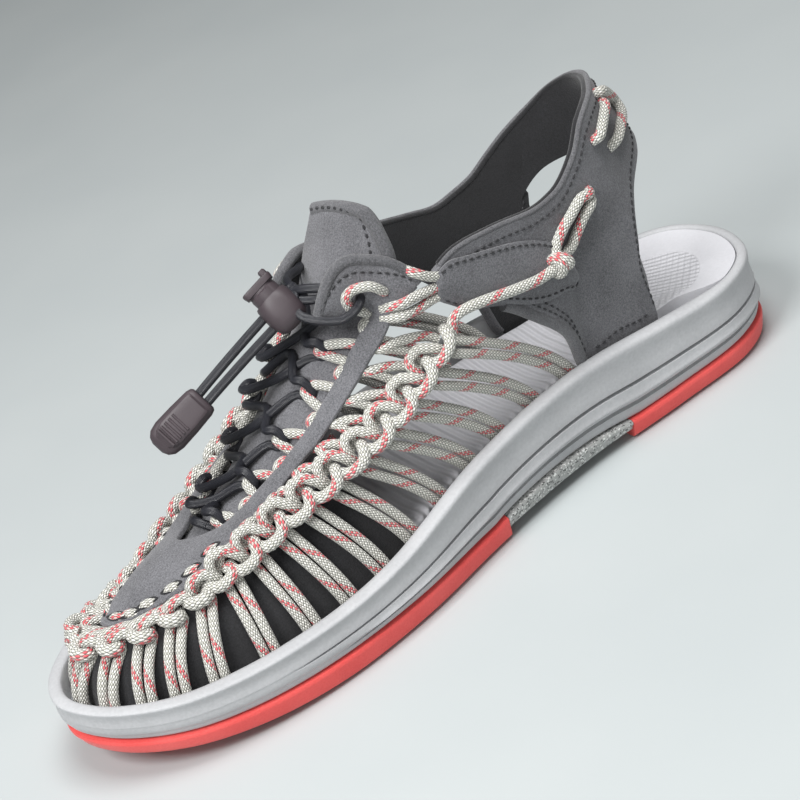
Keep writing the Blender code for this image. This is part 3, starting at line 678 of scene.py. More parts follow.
# %% Midsole
SIDE_PROFILE = [
    (0.00, -2.8, 0.0), (0.04, -1.7, 0.0), (0.10, -1.1, 0.0), (0.165, -0.9, 0.0), (0.18, -0.85, -1.2),
    (0.20, -0.8, -2.0), (0.22, -0.7, -1.2), (0.24, -0.4, 0.4), (0.275, -0.2, 0.8), (0.31, -0.1, 0.5),
    (0.345, 0.0, 0.05), (0.40, 0.0, 0.0), (0.435, 0.0, -0.1), (0.445, 0.0, -1.8), (0.465, 0.0, -2.8),
    (0.485, 0.0, -1.8), (0.495, 0.05, -0.1), (0.53, 0.0, 0.0), (0.62, -0.3, 0.0), (0.72, -0.45, 0.0),
    (0.81, -0.3, 0.0), (0.88, -0.05, 0.0), (0.93, 0.1, 0.0), (0.96, 0.0, 0.0), (0.985, -0.45, 0.0),
    (1.0, -1.4, 0.0),
]
GROOVE_STARTS = {"upper": (168.0, 184.0), "lower": (150.0, 168.0)}
UPPER_GROOVE_FROM = 0.42
CHANNEL_OUT, CHANNEL_IN, CHANNEL_CLOSED, CHANNEL_FADE, CHANNEL_LEDGE = 5.8, 12.4, 3.6, (-22.0, 0.0), 2.0
TOE_RIM, RIM_THINNER = (200.0, 238.0), 1.5
RIM_ROUND, RIM_CROWN = SIDE_PROFILE[-1][1], 0.1
LIP_ROUND = ((-0.35, 0.25), (0.0, 0.8), (0.1, CHANNEL_LEDGE))


def channel_inset(x, wide):
    # The cord channel narrows to nothing behind the heel strap
    share = share_between(x, *CHANNEL_FADE)
    return CHANNEL_CLOSED + (wide - CHANNEL_CLOSED) * share * share * (3 - 2 * share)


def toe_rim_share(x):
    # Share of the thinner rim round the toe
    return share_between(x, *TOE_RIM)


fades = {name: share_between(SOLE_X, end, full) for name, (full, end) in GROOVE_STARTS.items()}
low = parting(SOLE_X) + SOLE_GAP
high = station(SOLE_X, "rim")
rings = [ring(CHANNEL_OUT, low)]
for share, out, depth in SIDE_PROFILE:
    fade = fades["upper" if share > UPPER_GROOVE_FROM else "lower"]
    rings.append(ring(-out - depth * fade, low + (high - low) * share))
lip = channel_inset(SOLE_X, CHANNEL_OUT) - RIM_THINNER * toe_rim_share(SOLE_X)
rings.append(ring((lip - RIM_ROUND) / 2, high + RIM_CROWN))
rings += [ring(lip + inset, high - drop) for inset, drop in LIP_ROUND]
rings.append(ring(lip + SOLE_GAP, station(SOLE_X, "floor") - SOLE_GAP))
midsole = capped_loft("midsole_moulding", rings, midsole_foam, 50.0)
settle(midsole, "light_foam", "midsole")

# %% [markdown]
# ## Footbed
# The footbed lies inside the rim, flush with it round the heel. Its top is dished, with fine moulded ribs
# across the foot and a rounded patch of small lozenges under the heel. The ribs are drawn in the finish,
# because they are half a millimetre high; the dish is in the mesh.

# %% Footbed finish
footbed_foam, tree, surface, tint, relief, spot = foam_material("moulded_footbed_foam", "#BEBEC2",
                                                                "#CCCCD0", 1.0, 0.6, 0.15)
axes = add_node(tree, "ShaderNodeSeparateXYZ", {0: spot}).outputs
RIB_PITCH, RIBS_FROM = 3.2 * MM, 0.026
PATCH_MIDDLE, PATCH_SQUEEZE, PATCH_REACH = (0.001, 0.0, 0.03), (0.8, 1.1, 0.0), 0.02
rib_places = calc(tree, "MULTIPLY", axes[0], 2 * math.pi / RIB_PITCH)
cross_places = calc(tree, "MULTIPLY", axes[1], 2 * math.pi / RIB_PITCH)
ribs = calc(tree, "SINE", rib_places)
bars = calc(tree, "SINE", cross_places)
lozenges = calc(tree, "MULTIPLY", ribs, bars)
ahead = calc(tree, "GREATER_THAN", axes[0], RIBS_FROM)
offset = add_node(tree, "ShaderNodeVectorMath", {0: spot, 1: PATCH_MIDDLE}, operation="SUBTRACT").outputs[0]
squeezed = add_node(tree, "ShaderNodeVectorMath", {0: offset, 1: PATCH_SQUEEZE},
                    operation="MULTIPLY").outputs[0]
from_heel = add_node(tree, "ShaderNodeVectorMath", {0: squeezed}, operation="LENGTH").outputs["Value"]
patch = calc(tree, "LESS_THAN", from_heel, PATCH_REACH)
heel_part = calc(tree, "MULTIPLY", lozenges, patch)
texture = calc(tree, "MULTIPLY_ADD", ribs, ahead, heel_part)
moulded = bump(tree, 0.8, 0.0005, texture, Normal=relief)
paint(tree, surface, tint, moulded)
print(footbed_foam.name)

# %% Footbed
bed_edge = np.maximum(channel_inset(SOLE_X, CHANNEL_IN), channel_inset(SOLE_X, CHANNEL_OUT) + SOLE_GAP)
bed_top = station(SOLE_X, "bed")
HEEL_DISH, HEEL_BLEND, BELOW_RIM = 11.0, (34.0, 0.0), 0.5
heel_share = share_between(SOLE_X, *HEEL_BLEND)
heel_rise = (station(SOLE_X, "rim") - bed_top - BELOW_RIM) * heel_share
BED_RINGS = [
    (0.0, None), (0.05, -1.0), (0.35, -0.35), (1.0, 0.0), (3.0, 0.0), (5.5, -0.5), (9.0, -1.3),
    (14.0, -2.0),
]
rings = []
for inset, drop in BED_RINGS:
    flush = heel_rise * max(0.0, 1 - inset / HEEL_DISH)
    height = station(SOLE_X, "floor") if drop is None else bed_top + drop * (1 - heel_share) + flush
    rings.append(ring(bed_edge + inset, height))
count = len(SOLE_X)
points = np.concatenate(rings)
faces = grid_faces(len(rings), count, closed=True)
for base, flip in ((0, True), ((len(rings) - 1) * count, False)):
    for i in range(count // 2):
        a, b, c, d = base + i, base + i + 1, base + (count - i - 1), base + (count - i) % count
        quad = (a, b, c, d) if i else (a, b, c)
        quad = quad if b != c else (a, b, d)
        faces.append(quad[::-1] if flip else quad)
footbed = new_piece("footbed_insole", points, faces, footbed_foam, 60.0)
settle(footbed, "footbed_foam", "footbed")

# %% [markdown]
# ## Outsole
# Coral rubber under the forefoot and the heel, and a speckled foam bridge between them that stays clear of
# the floor. Slabs are lofted from the outline and cut to length, and the tread grooves are cut with bars,
# as a knife plate would cut them.

# %% Outsole
TREAD_EDGE = [(5.5, 0.0), (3.4, 0.25), (2.2, 1.1), (1.6, 2.6)]
OUTSOLE_EDGE = [(0.7, -1.8), (0.55, -0.9), (0.8, -0.25), (1.6, 0.0)]
FOREFOOT_FROM, HEEL_TO, ARCH_CLEARANCE = 94.0, 36.0, 3.0
FOREFOOT_GROOVES, HEEL_GROOVES = (112, 130, 148, 166, 184, 202), (-22, -8, 6, 20)
GROOVE_WIDTH, GROOVE_DEPTH = 3.2, 2.6
BAR_HALF, BAR_BELOW, BAR_ABOVE, PAST_HEEL, PAST_TOE = 70, -20, 60, -60, 260
BOX_FACES = [(0, 2, 3, 1), (4, 5, 7, 6), (0, 1, 5, 4), (2, 6, 7, 3), (0, 4, 6, 2), (1, 3, 7, 5)]


def cut(item, operation, x_from, x_to, z_from, z_to):
    # Boolean with a bar across the sole
    bar = [(x, y, z) for x in (x_from, x_to) for y in (-BAR_HALF, BAR_HALF) for z in (z_from, z_to)]
    tool = new_piece("cutting_bar", bar, BOX_FACES, coral_rubber)
    modifier = item.modifiers.new("cut", "BOOLEAN")
    modifier.operation = operation
    modifier.object = tool
    result = plain_mesh(item)
    bpy.data.objects.remove(tool)
    return result


def outsole_slab(name, x_from, x_to, lift, material, grooves=()):
    # Slab between the ground and the parting line, cut to length and grooved
    rings = [ring(inset, lambda x, up=up: ground(x) + lift + up) for inset, up in TREAD_EDGE]
    rings += [ring(inset, lambda x, up=up: parting(x) + up) for inset, up in OUTSOLE_EDGE]
    slab = capped_loft(name, rings, material)
    slab = cut(slab, "INTERSECT", x_from, x_to, BAR_BELOW, BAR_ABOVE)
    for x in grooves:
        sides = (x - GROOVE_WIDTH / 2, x + GROOVE_WIDTH / 2)
        slab = cut(slab, "DIFFERENCE", *sides, BAR_BELOW, ground(x) + GROOVE_DEPTH)
    return slab


half_gap = SOLE_GAP / 2
slab = outsole_slab("forefoot_rubber", FOREFOOT_FROM + half_gap, PAST_TOE, 0, coral_rubber, FOREFOOT_GROOVES)
settle(slab, "coral_rubber", "outsole_forefoot")
slab = outsole_slab("heel_rubber", PAST_HEEL, HEEL_TO - half_gap, 0, coral_rubber, HEEL_GROOVES)
settle(slab, "coral_rubber", "outsole_heel")
slab = outsole_slab("arch_bridge", HEEL_TO + half_gap, FOREFOOT_FROM - half_gap, ARCH_CLEARANCE, arch_foam)
settle(slab, "arch_foam", "outsole_arch")

# %% [markdown]
# ## Cord sheath
# The cage is braided polyester cord, drawn 3.3 to 4.3 mm thick. Its sheath is woven from carriers that run
# both ways round the core: off-white and grey-green, with two neighbouring coral carriers that show as
# slanted flecks. The map along and round the cord gives the two families of carriers, and the parity of
# their crossing says which one lies on top. Each crossing is a bright grain, and the gap round it is painted
# dark as painted shade.

# %% Cord sheath material
CARRIERS = 11
CELL = 1.5
CORAL_CARRIERS = 2.0
cord_sheath, tree, surface = new_material("woven_polyester_sheath", 0.55, Sheen_Weight=0.2,
                                          Sheen_Roughness=0.4)
parts = cord_map(tree)
turned = calc(tree, "MULTIPLY", parts[0], CARRIERS)
gone = calc(tree, "DIVIDE", parts[1], CELL)
one_way = calc(tree, "ADD", turned, gone)
other_way = calc(tree, "SUBTRACT", turned, gone)
first = calc(tree, "FLOOR", one_way)
second = calc(tree, "FLOOR", other_way)
both = calc(tree, "ADD", first, second)
on_top = calc(tree, "FLOORED_MODULO", both, 2.0)
carrier = calc(tree, "FLOORED_MODULO", first, CARRIERS)
is_coral = calc(tree, "LESS_THAN", carrier, CORAL_CARRIERS)
yarn = blend(tree, is_coral, "#EFEDE6", "#E45C65")
counter = blend(tree, is_coral, "#C9C8BF", "#E3BFBA")
woven = blend(tree, on_top, yarn, counter)
waves = []
for family in (one_way, other_way):
    angle = calc(tree, "MULTIPLY", family, math.pi)
    swing = calc(tree, "SINE", angle)
    waves.append(calc(tree, "ABSOLUTE", swing))
crown = calc(tree, "MULTIPLY", waves[0], waves[1])
# Gaps between the crossings are painted dark: painted shade in the recesses of the weave
gap_shade_fade = stretch(tree, crown, 0.0, 0.5)
shaded = blend(tree, gap_shade_fade, "#5E5F58", woven)
relief = bump(tree, 0.8, 0.0004, crown)
paint(tree, surface, shaded, relief)
print(cord_sheath.name, CARRIERS, "carriers each way")

# %% [markdown]
# ## Where the cage runs
# 29 pairs of cord legs climb from the channel to the braid line. At each place of the braid there is a small
# set of axes: along the braid to the ankle, inwards to the panel, and out of the foot. A link drawn in these
# axes turns the toe by itself.

# %% Feather line, braid line and their axes
PAIRS = 29
CORD, LEG = 3.6, 3.3
FEATHER, FEATHER_TOE, FEATHER_STEPS, CORD_SEAT = 9.0, 2.4, 12, 1.0
FEATHER_MEDIAL_END, FEATHER_LATERAL_END = 41.5, 43.0
BRAID = [
    (81.5, 31.5, 79.5), (105, 32, 65.5), (125, 31, 57.5), (145, 29.5, 53), (160, 28, 50), (180, 26, 45),
    (205, 22.5, 41.2), (223, 15.5, 40.2), (231, 5, 40), (223, -6.5, 38.8), (205, -13.5, 38), (180, -20, 41),
    (160, -24.5, 48.5), (145, -27.5, 55), (125, -30.5, 61.5), (105, -31.5, 66), (83, -31, 73),
]
braid_line = through(BRAID, 12)
feather_x = through(OUTLINE, FEATHER_STEPS, closed=True)[:, 0]
curve = outline(FEATHER - FEATHER_TOE * toe_rim_share(feather_x), FEATHER_STEPS)
half = len(curve) // 2
medial, lateral = curve[:half + 1], curve[half + 1:]
medial = medial[medial[:, 0] > FEATHER_MEDIAL_END]
lateral = lateral[lateral[:, 0] > FEATHER_LATERAL_END]
flat = np.concatenate([medial, lateral])
feather_line = np.column_stack([flat, station(flat[:, 0], "floor") + CORD_SEAT])
pitch = line_length(braid_line) / PAIRS
CORE_X, CORE_Y, CORE_Z = 196.0, 3.0, 28.0


def braid_axes(share):
    # Place on the braid, and its axes to the ankle, to the panel and outwards
    share = np.atleast_1d(np.asarray(share, float))
    held = np.clip(share, 0, 1)
    step = 0.006
    ahead = even(braid_line, np.clip(held + step, 0, 1)) - even(braid_line, np.clip(held - step, 0, 1))
    ahead = unit(ahead)
    centre = even(braid_line, held) + ahead * (share - held)[:, None] * line_length(braid_line)
    outwards = centre - [CORE_X, CORE_Y, CORE_Z]
    outwards[:, 0] = np.maximum(outwards[:, 0], 0)
    outwards = unit(outwards - ahead * (outwards * ahead).sum(1)[:, None])
    inwards = np.cross(outwards, ahead)
    inwards = inwards * np.sign(inwards[:, 2:3] + 1e-6)
    to_ankle = ahead * np.where(share < 0.5, -1, 1)[:, None]
    return centre, to_ankle, inwards, outwards


def braid_points(place, table):
    # Points given as pitches to the ankle, millimetres to the panel and millimetres outwards
    table = np.asarray(table, float)
    share = (place + 0.5) / PAIRS
    way = -1 if share < 0.5 else 1
    centre, _, inwards, outwards = braid_axes(share + table[:, 0] * way / PAIRS)
    return centre + inwards * table[:, 1:2] + outwards * table[:, 2:3]


print("braid", round(line_length(braid_line)), "mm, pitch", round(pitch, 1), "mm")

# %% [markdown]
# ## Cage legs
# Each leg leaves the channel steeply, bends over a knee and slips under the outer links of the braid.
# Feet and links are not quite evenly spaced on the real sandal, so both have a table along the medial side,
# which the lateral side mirrors. Round the toe the legs stand closer together.

# %% Cage legs
FEET = [-0.27, 0.83, 1.97, 2.97, 4.08, 5.21, 6.23, 7.24, 8.27, 9.35, 10.56, 11.43, 12.16, 13.01, 13.87]
LINKS = [0.5, 1.5, 2.5, 3.5, 4.5, 5.5, 6.5, 7.5, 8.45, 9.32, 10.2, 11.12, 12.05, 12.95, 13.8]
LEG_KNEES = np.array([(0.06, 0.06, 0.36), (0.1, 0.1, 0.72)])
LEG_SPREAD, LEG_TUCK = 0.125, (0.02, 3.0, -1.0)
LEG_TOPS_FOOT = [(0.26, -2.2, -1.5), (-0.07, -3.9, -1.5)]
LEG_TOPS_TOE = [(0.24, -3.0, -1.5), (-0.18, -3.2, -1.5)]
TOE_FORM_FROM, TOE_FORM_STEPS = 8.0, 2.5


def both_sides(places):
    # Places of the medial pairs, the toe and the mirrored lateral pairs
    return list(places) + [PAIRS - 1 - place for place in places[-2::-1]]


def toe_share(number):
    # Share of the toe form at a pair counted from the medial ankle
    from_ankle = min(number, PAIRS - 1 - number)
    return float(np.clip((from_ankle - TOE_FORM_FROM) / TOE_FORM_STEPS, 0, 1))


def leg_knee(number):
    # How far the knee of a leg stands from its foot to its top, in plan and in height
    share = toe_share(number)
    return LEG_KNEES[0] * (1 - share) + LEG_KNEES[1] * share


leg_paths = []
for number, (foot_place, link_place) in enumerate(zip(both_sides(FEET), both_sides(LINKS))):
    share = toe_share(number)
    to_ankle = -1 if foot_place < PAIRS / 2 else 1
    for side, foot_top, toe_top in zip((1, -1), LEG_TOPS_FOOT, LEG_TOPS_TOE):
        foot = even(feather_line, [(foot_place + 0.5 + side * to_ankle * LEG_SPREAD) / PAIRS])[0]
        row = np.array(foot_top) * (1 - share) + np.array(toe_top) * share
        top, tuck = braid_points(link_place, [row, row + LEG_TUCK])
        knee = foot + (top - foot) * leg_knee(number)
        leg = bow(foot, knee, top, np.linspace(0, 1, 15)[:, None])
        leg_paths.append(np.vstack([leg, tuck]))
cord_piece("cage_legs", leg_paths, LEG, cord_sheath, "cord", "upper", Sides=14, Seed=3)

# %% [markdown]
# ## Braid
# Along the top of the legs the two cords lock in a chain: an inner link bulges to the panel and an outer
# link lies over it and bulges outwards. At the toe the chain is pulled tight and the outer links become
# short plump beads. One link of each kind is drawn for the foot and one for the toe, with a blend between.

# %% Braid links
INNER_FOOT = [
    (-1.06, 0.6, -2.6), (-1.08, 3.0, -0.2), (-1.0, 5.8, 1.4), (-0.8, 7.2, 1.8), (-0.55, 6.7, 1.9),
    (-0.34, 4.4, 1.6), (-0.2, 1.7, 0.2), (-0.14, -0.4, -2.4),
]
INNER_TOE = [
    (-0.9, -0.6, -3.2), (-0.86, 0.6, -1.3), (-0.74, 1.6, 0.0), (-0.54, 2.0, 0.5), (-0.34, 1.4, 0.1),
    (-0.22, 0.0, -1.3), (-0.18, -0.9, -3.0),
]
OUTER_FOOT = [
    (-0.68, 2.0, -2.6), (-0.62, 0.4, 0.0), (-0.36, -2.3, 2.0), (-0.12, -2.7, 2.3), (0.1, -2.0, 2.3),
    (0.28, 0.2, 2.0), (0.36, 2.0, 0.4), (0.4, 3.4, -2.4),
]
OUTER_TOE = [
    (-0.27, 1.4, -3.8), (-0.26, 0.6, -1.0), (-0.18, -0.6, 1.5), (-0.02, -1.6, 2.7), (0.14, -2.0, 1.6),
    (0.2, -1.6, -0.9), (0.2, -0.6, -3.6),
]
LINK_POINTS = 27
inner_links, outer_links, toe_beads = [], [], []
for number, place in enumerate(both_sides(LINKS)):
    share = toe_share(number)
    for foot_form, toe_form, group in ((INNER_FOOT, INNER_TOE, inner_links),
                                       (OUTER_FOOT, OUTER_TOE, outer_links if share < 0.5 else toe_beads)):
        forms = [even(through(form, 8), LINK_POINTS) for form in (foot_form, toe_form)]
        group.append(braid_points(place, forms[0] * (1 - share) + forms[1] * share))
TOE_KNOT_PLACE, TOE_KNOT_GAP = 14.75, 2.7
for strand in (-1, 0, 1):
    shift = strand * TOE_KNOT_GAP
    arc = [(0.45, shift - 0.8, -1.4), (0.3, shift, 1.6), (0.0, shift + 0.4, 2.6), (-0.3, shift + 0.6, 1.6),
           (-0.45, shift + 0.4, -1.4)]
    inner_links.append(through(braid_points(TOE_KNOT_PLACE, arc), 5))
BRAID_GROUPS = (("braid_inner_links", inner_links, 3.5, 11), ("braid_outer_links", outer_links, 3.9, 13),
                ("braid_toe_beads", toe_beads, 4.3, 17))
for name, paths, thickness, seed in BRAID_GROUPS:
    cord_piece(name, paths, thickness, cord_sheath, "cord", "upper", Sides=14, Seed=seed)

# %% [markdown]
# ## Microfibre and lining
# Panel, tongue and strap are microfibre suede: a felt of very fine fibres, so it has no gloss, a soft
# sheen at grazing angles and a salt-and-pepper speckle of light and dark grey. The lining is a darker
# knit of the same kind.

# %% Microfibre materials
def suede(name, low, high, speck_mm):
    # Napped cloth: cloudy grey, salt-and-pepper speckle, soft relief
    material, tree, surface = new_material(name, 0.92, Sheen_Weight=0.25, Sheen_Roughness=0.6,
                                           Specular_IOR_Level=0.25)
    spot = object_spot(tree)
    cloud = noise(tree, spot, 70.0, 3.0)
    speck = noise(tree, spot, 1000.0 / speck_mm, 3.0, Roughness=0.75)
    mixed = calc(tree, "MULTIPLY_ADD", cloud, 0.3, speck)
    spread = stretch(tree, mixed, 0.5, 0.82)
    tint = blend(tree, spread, low, high)
    relief = bump(tree, 0.6, 0.0005, speck)
    paint(tree, surface, tint, relief)
    return material


microfibre = suede("grey_microfibre_suede", "#48484B", "#76767A", 0.5)
binding = suede("microfibre_binding", "#3E3E41", "#6A6A6D", 0.5)
lining = suede("charcoal_lining_knit", "#0E0E10", "#232326", 0.6)
print([item.name for item in (microfibre, binding, lining)])


# %% [markdown]
# ## Walls of cloth
# Each cloth piece is a fine grid of points on its real curve. Solidify gives it its thickness with the
# lining on the inside, and Bevel rounds the cut edges.

# %% Cloth wall helper
def cloth_wall(name, grid, wall, outer, inner, edge):
    # Wall of the given thickness about a grid, with the inner material on the side of the foot
    rows, columns = grid.shape[:2]
    item = new_piece(name, grid.reshape(-1, 3), grid_faces(rows, columns), inner, 180.0)
    item.data.materials.append(outer)
    solid = item.modifiers.new("wall", "SOLIDIFY")
    solid.thickness = wall * MM
    solid.offset = 0
    solid.material_offset = 1
    solid.material_offset_rim = 1
    bevel = item.modifiers.new("edge", "BEVEL")
    bevel.width = edge * MM
    bevel.segments = 3
    bevel.limit_method = "ANGLE"
    bevel.angle_limit = math.radians(50)
    return plain_mesh(item, 60.0)


# %% [markdown]
# ## Vamp panel and eyestays
# One piece of microfibre covers the toe between the braid rows and runs up both sides of the throat as
# narrow eyestays. Cords pass through slits along its outer edge. The table gives the throat edge, the
# outer edge and the crown between them, from the medial top round the throat to the lateral top.

# %% Vamp panel
PANEL_MEDIAL = [
    ((103.6, 22, 95.9), (101.2, 27.3, 92.6), 0.3), ((106.7, 21.5, 90.3), (103.2, 27.2, 88.5), 0.3),
    ((112.2, 20.5, 86.3), (108, 26.8, 84), 0.3), ((116.6, 19.5, 82.5), (112.8, 25.8, 80.6), 0.3),
    ((121.1, 18.5, 77.9), (117.5, 25, 77), 0.3), ((125.5, 18, 74.8), (122.5, 24.2, 73.5), 0.3),
    ((131.1, 17.5, 71), (128.5, 23.4, 69.5), 0.3), ((136.8, 17, 67.2), (134, 22.6, 66), 0.3),
    ((141.9, 16.5, 64.3), (139, 22, 63), 0.3), ((147.1, 16, 61.7), (145.5, 21.6, 60.6), 0.3),
    ((154.8, 15.5, 58.6), (154, 21.2, 57), 0.4), ((162, 14.6, 55.6), (162, 21, 54), 0.6),
    ((168.5, 13.3, 52.8), (170.5, 20.6, 50.6), 0.8), ((174, 11.5, 50.6), (179, 20.4, 47.4), 1.0),
    ((178.5, 9, 49.6), (189, 20.3, 45.2), 1.2), ((182.5, 6.5, 49.2), (199.5, 18.5, 43.4), 1.5),
    ((185, 4, 49), (210, 15, 42), 1.8), ((186.5, 2.4, 49), (219, 10.5, 41.4), 2.0),
]
PANEL_LATERAL = [
    ((186.8, 1, 49), (221.5, 5, 41), 2.0), ((185.5, -0.6, 48.8), (216, -0.5, 40.8), 1.8),
    ((183, -2.6, 48.6), (209, -5, 40.8), 1.6), ((179.5, -5, 48.6), (200, -9, 41.2), 1.4),
    ((175, -8, 49.4), (190, -11.8, 42.8), 1.2), ((169, -10.8, 51.6), (178, -15.2, 46), 1.0),
    ((162, -12.6, 54.6), (165, -17.4, 51), 0.8), ((154.8, -13.5, 57.6), (154, -18.6, 55.6), 0.5),
]
LATERAL_SINK, MIRROR_Y = 1.0, 2.0
for inner, outer, crown_mm in PANEL_MEDIAL[9::-1]:
    PANEL_LATERAL.append((*((x, MIRROR_Y - y, z - LATERAL_SINK) for x, y, z in (inner, outer)), crown_mm))
PANEL = PANEL_MEDIAL + PANEL_LATERAL
PANEL_WALL, PANEL_COLUMNS, PANEL_OUT = 2.0, 11, (0.15, 0.45, 0.88)
throat_edge, outer_edge = (through([row[k] for row in PANEL], 6) for k in (0, 1))
crowns = through([(i, row[2], 0) for i, row in enumerate(PANEL)], 6)[:, 1]
last_row = len(PANEL) - 1
panel_rows = np.linspace(0, last_row, len(throat_edge))


def panel_point(row, share, lift=0.0):
    # Point on the panel at a row of the table and a share from the throat to the outer edge
    near, far = (at_row(row, panel_rows, edge) for edge in (throat_edge, outer_edge))
    side = 1 if near[1] > 1 else -1
    out = unit(np.array(PANEL_OUT) * [1, side, 1])
    rise = np.interp(row, panel_rows, crowns) * math.sin(math.pi * np.clip(share, 0, 1))
    return near * (1 - share) + far * share + out * (rise + lift)


rows = np.linspace(0, last_row, last_row * 5 + 1)
shares = np.linspace(0, 1, PANEL_COLUMNS)
grid = np.array([[panel_point(row, share) for share in shares] for row in rows])
panel = cloth_wall("vamp_panel", grid, PANEL_WALL, microfibre, lining, 0.6)
settle(panel, "microfibre", "upper")

# %% [markdown]
# ## Strands
# From every slit at the panel's edge two cords fan out to the braid and slip under its inner links. Both
# start together beneath the edge, so nothing ends in the open.

# %% Strands
SLIT_ROWS = [2.3, 3.7, 5.4, 6.6, 8.1, 9.4, 10.4, 11.5, 12.4, 13.4, 14.3, 15.2, 15.9, 16.9]
STRAND = 3.3
HIDDEN_FROM, MOUTH_DEPTH, HIDDEN_DEPTH = 10, -1.7, -2.4
STRAND_ROOT, STRAND_CREST = (0.4, -2.9), 0.9
STRAND_ENDS = [
    (-1, [(-0.5, 6.4, -0.6), (-0.42, 3.4, -2.6)], [(-0.5, 2.4, -1.8), (-0.42, 1.0, -3.2)]),
    (0, [(-0.12, 7.0, -0.6), (-0.2, 3.6, -2.6)], [(-0.12, 2.6, -1.8), (-0.2, 1.2, -3.2)]),
]
strand_paths = []
for number, row in enumerate(SLIT_ROWS, 1):
    for place, mirror in ((row, False), (last_row - row, True)):
        depth = MOUTH_DEPTH if number < HIDDEN_FROM else HIDDEN_DEPTH
        under, mouth = panel_point(place, *STRAND_ROOT), panel_point(place, 1.0, depth)
        tight = toe_share(number)
        for dot, foot_form, toe_form in STRAND_ENDS:
            dot = PAIRS - 1 - number - dot if mirror else number + dot
            near, tuck = braid_points(dot, np.array(foot_form) * (1 - tight) + np.array(toe_form) * tight)
            crest = (mouth + near) / 2 + np.array([0, 0, STRAND_CREST * (1 - tight)])
            strand_paths.append(through([under, mouth, crest, near, tuck], 5))
cord_piece("eyestay_strands", strand_paths, STRAND, cord_sheath, "cord", "upper", Sides=12, Seed=23)

# %% [markdown]
# ## Vamp slits
# On the vamp the cord dips under the panel and shows again in a row of lens-shaped slits. Each is a short
# arc of cord that just breaks the surface, inside a near-black ring of painted shade along the cut edge.

# %% Vamp slits
DASHES = [(13.8, 0.55), (14.6, 0.72), (15.3, 0.82), (16.1, 0.87), (16.7, 0.9), (17.3, 0.9), (18.4, 0.9)]
DASH, DASH_HALF, DASH_SINK = 3.4, 3.4, 0.7
SLIT_SHADE_ROLL, SLIT_HALF = 0.7, 1.55
# The near-black ring round each slit is painted shade in the gap between cord and cut edge
slit_shade_finish = suede("painted_slit_shade", "#0F0F11", "#26262A", 0.7)
dash_paths, slit_shade_paths = [], []
for row, share in DASHES + [(last_row - row, share) for row, share in DASHES[:3]]:
    ahead = unit(panel_point(row + 0.3, share) - panel_point(row - 0.3, share))
    middle_point = panel_point(row, share, PANEL_WALL / 2)
    across = unit(panel_point(row, share + 0.05) - panel_point(row, share - 0.05))
    out = unit(np.cross(ahead, across))
    out = out * np.sign(out[2])
    arc = [(-DASH_HALF, -2.6), (-DASH_HALF * 0.7, -1.0), (0.0, 0.0), (DASH_HALF * 0.7, -1.0),
           (DASH_HALF, -2.6)]
    dash_paths.append(through([middle_point + ahead * a + out * (b - DASH_SINK) for a, b in arc], 5))
    rim = []
    for angle in np.linspace(0, 2 * math.pi, 29):
        rim.append(middle_point + ahead * math.cos(angle) * (DASH_HALF + 0.2)
                   + across * math.sin(angle) * abs(math.sin(angle)) * SLIT_HALF + out * 0.05)
    slit_shade_paths.append(np.array(rim))
cord_piece("vamp_cord_dashes", dash_paths, DASH, cord_sheath, "cord", "upper", Sides=12, Seed=29)
cord_piece("vamp_slit_shade_rings", slit_shade_paths, SLIT_SHADE_ROLL, slit_shade_finish, "microfibre", "upper", Sides=6)

# %% [markdown]
# ## Stitches by Geometry Nodes
# Seams are rows of short thread capsules. A tree resamples each seam at the stitch length and lays one
# capsule along it, so the spacing stays true round every bend. The thread is bonded nylon, darker than the
# microfibre and slightly uneven in colour.

# %% Stitch tree and thread
stitch_tree, given = new_tree("seam_stitches", [
    ("Spacing", "NodeSocketFloat", 0.0026), ("Length", "NodeSocketFloat", 0.0019),
    ("Thickness", "NodeSocketFloat", 0.0008), ("Material", "NodeSocketMaterial", None),
])
tree = stitch_tree
spaced = add_node(tree, "GeometryNodeResampleCurve", {"Curve": given["Geometry"]}, mode="LENGTH")
tree.links.new(given["Spacing"], next(item for item in spaced.inputs if item.name == "Length"))
capsule = add_node(tree, "GeometryNodeMeshUVSphere", {"Segments": 6, "Rings": 5,
                                                      "Radius": 0.5}).outputs["Mesh"]
heading = add_node(tree, "GeometryNodeInputTangent").outputs[0]
lay = add_node(tree, "FunctionNodeAlignRotationToVector", {"Vector": heading}, axis="X").outputs[0]
size = add_node(tree, "ShaderNodeCombineXYZ", {"X": given["Length"], "Y": given["Thickness"],
                                               "Z": given["Thickness"]}).outputs[0]
sewn = add_node(tree, "GeometryNodeInstanceOnPoints",
                {"Points": spaced.outputs[0], "Instance": capsule, "Rotation": lay, "Scale": size})
end_tree(tree, sewn.outputs[0], given["Material"])

dark_thread, tree, surface = new_material("bonded_nylon_thread", 0.55, Sheen_Weight=0.2)
spot = object_spot(tree)
twist = noise(tree, spot, 2500.0, 1.0)
tint = blend(tree, twist, "#0E0E10", "#27272B")
paint(tree, surface, tint)
print("stitch tree", len(stitch_tree.nodes), "nodes")

# %% [markdown]
# ## Tongue
# The tongue is a padded strip of microfibre that arches over the instep and ends in a broad flat top with a
# bound edge. It leans a little to the ankle on the medial side, so each station has three points: lateral
# edge, crown and medial edge, with a smooth arch through them.

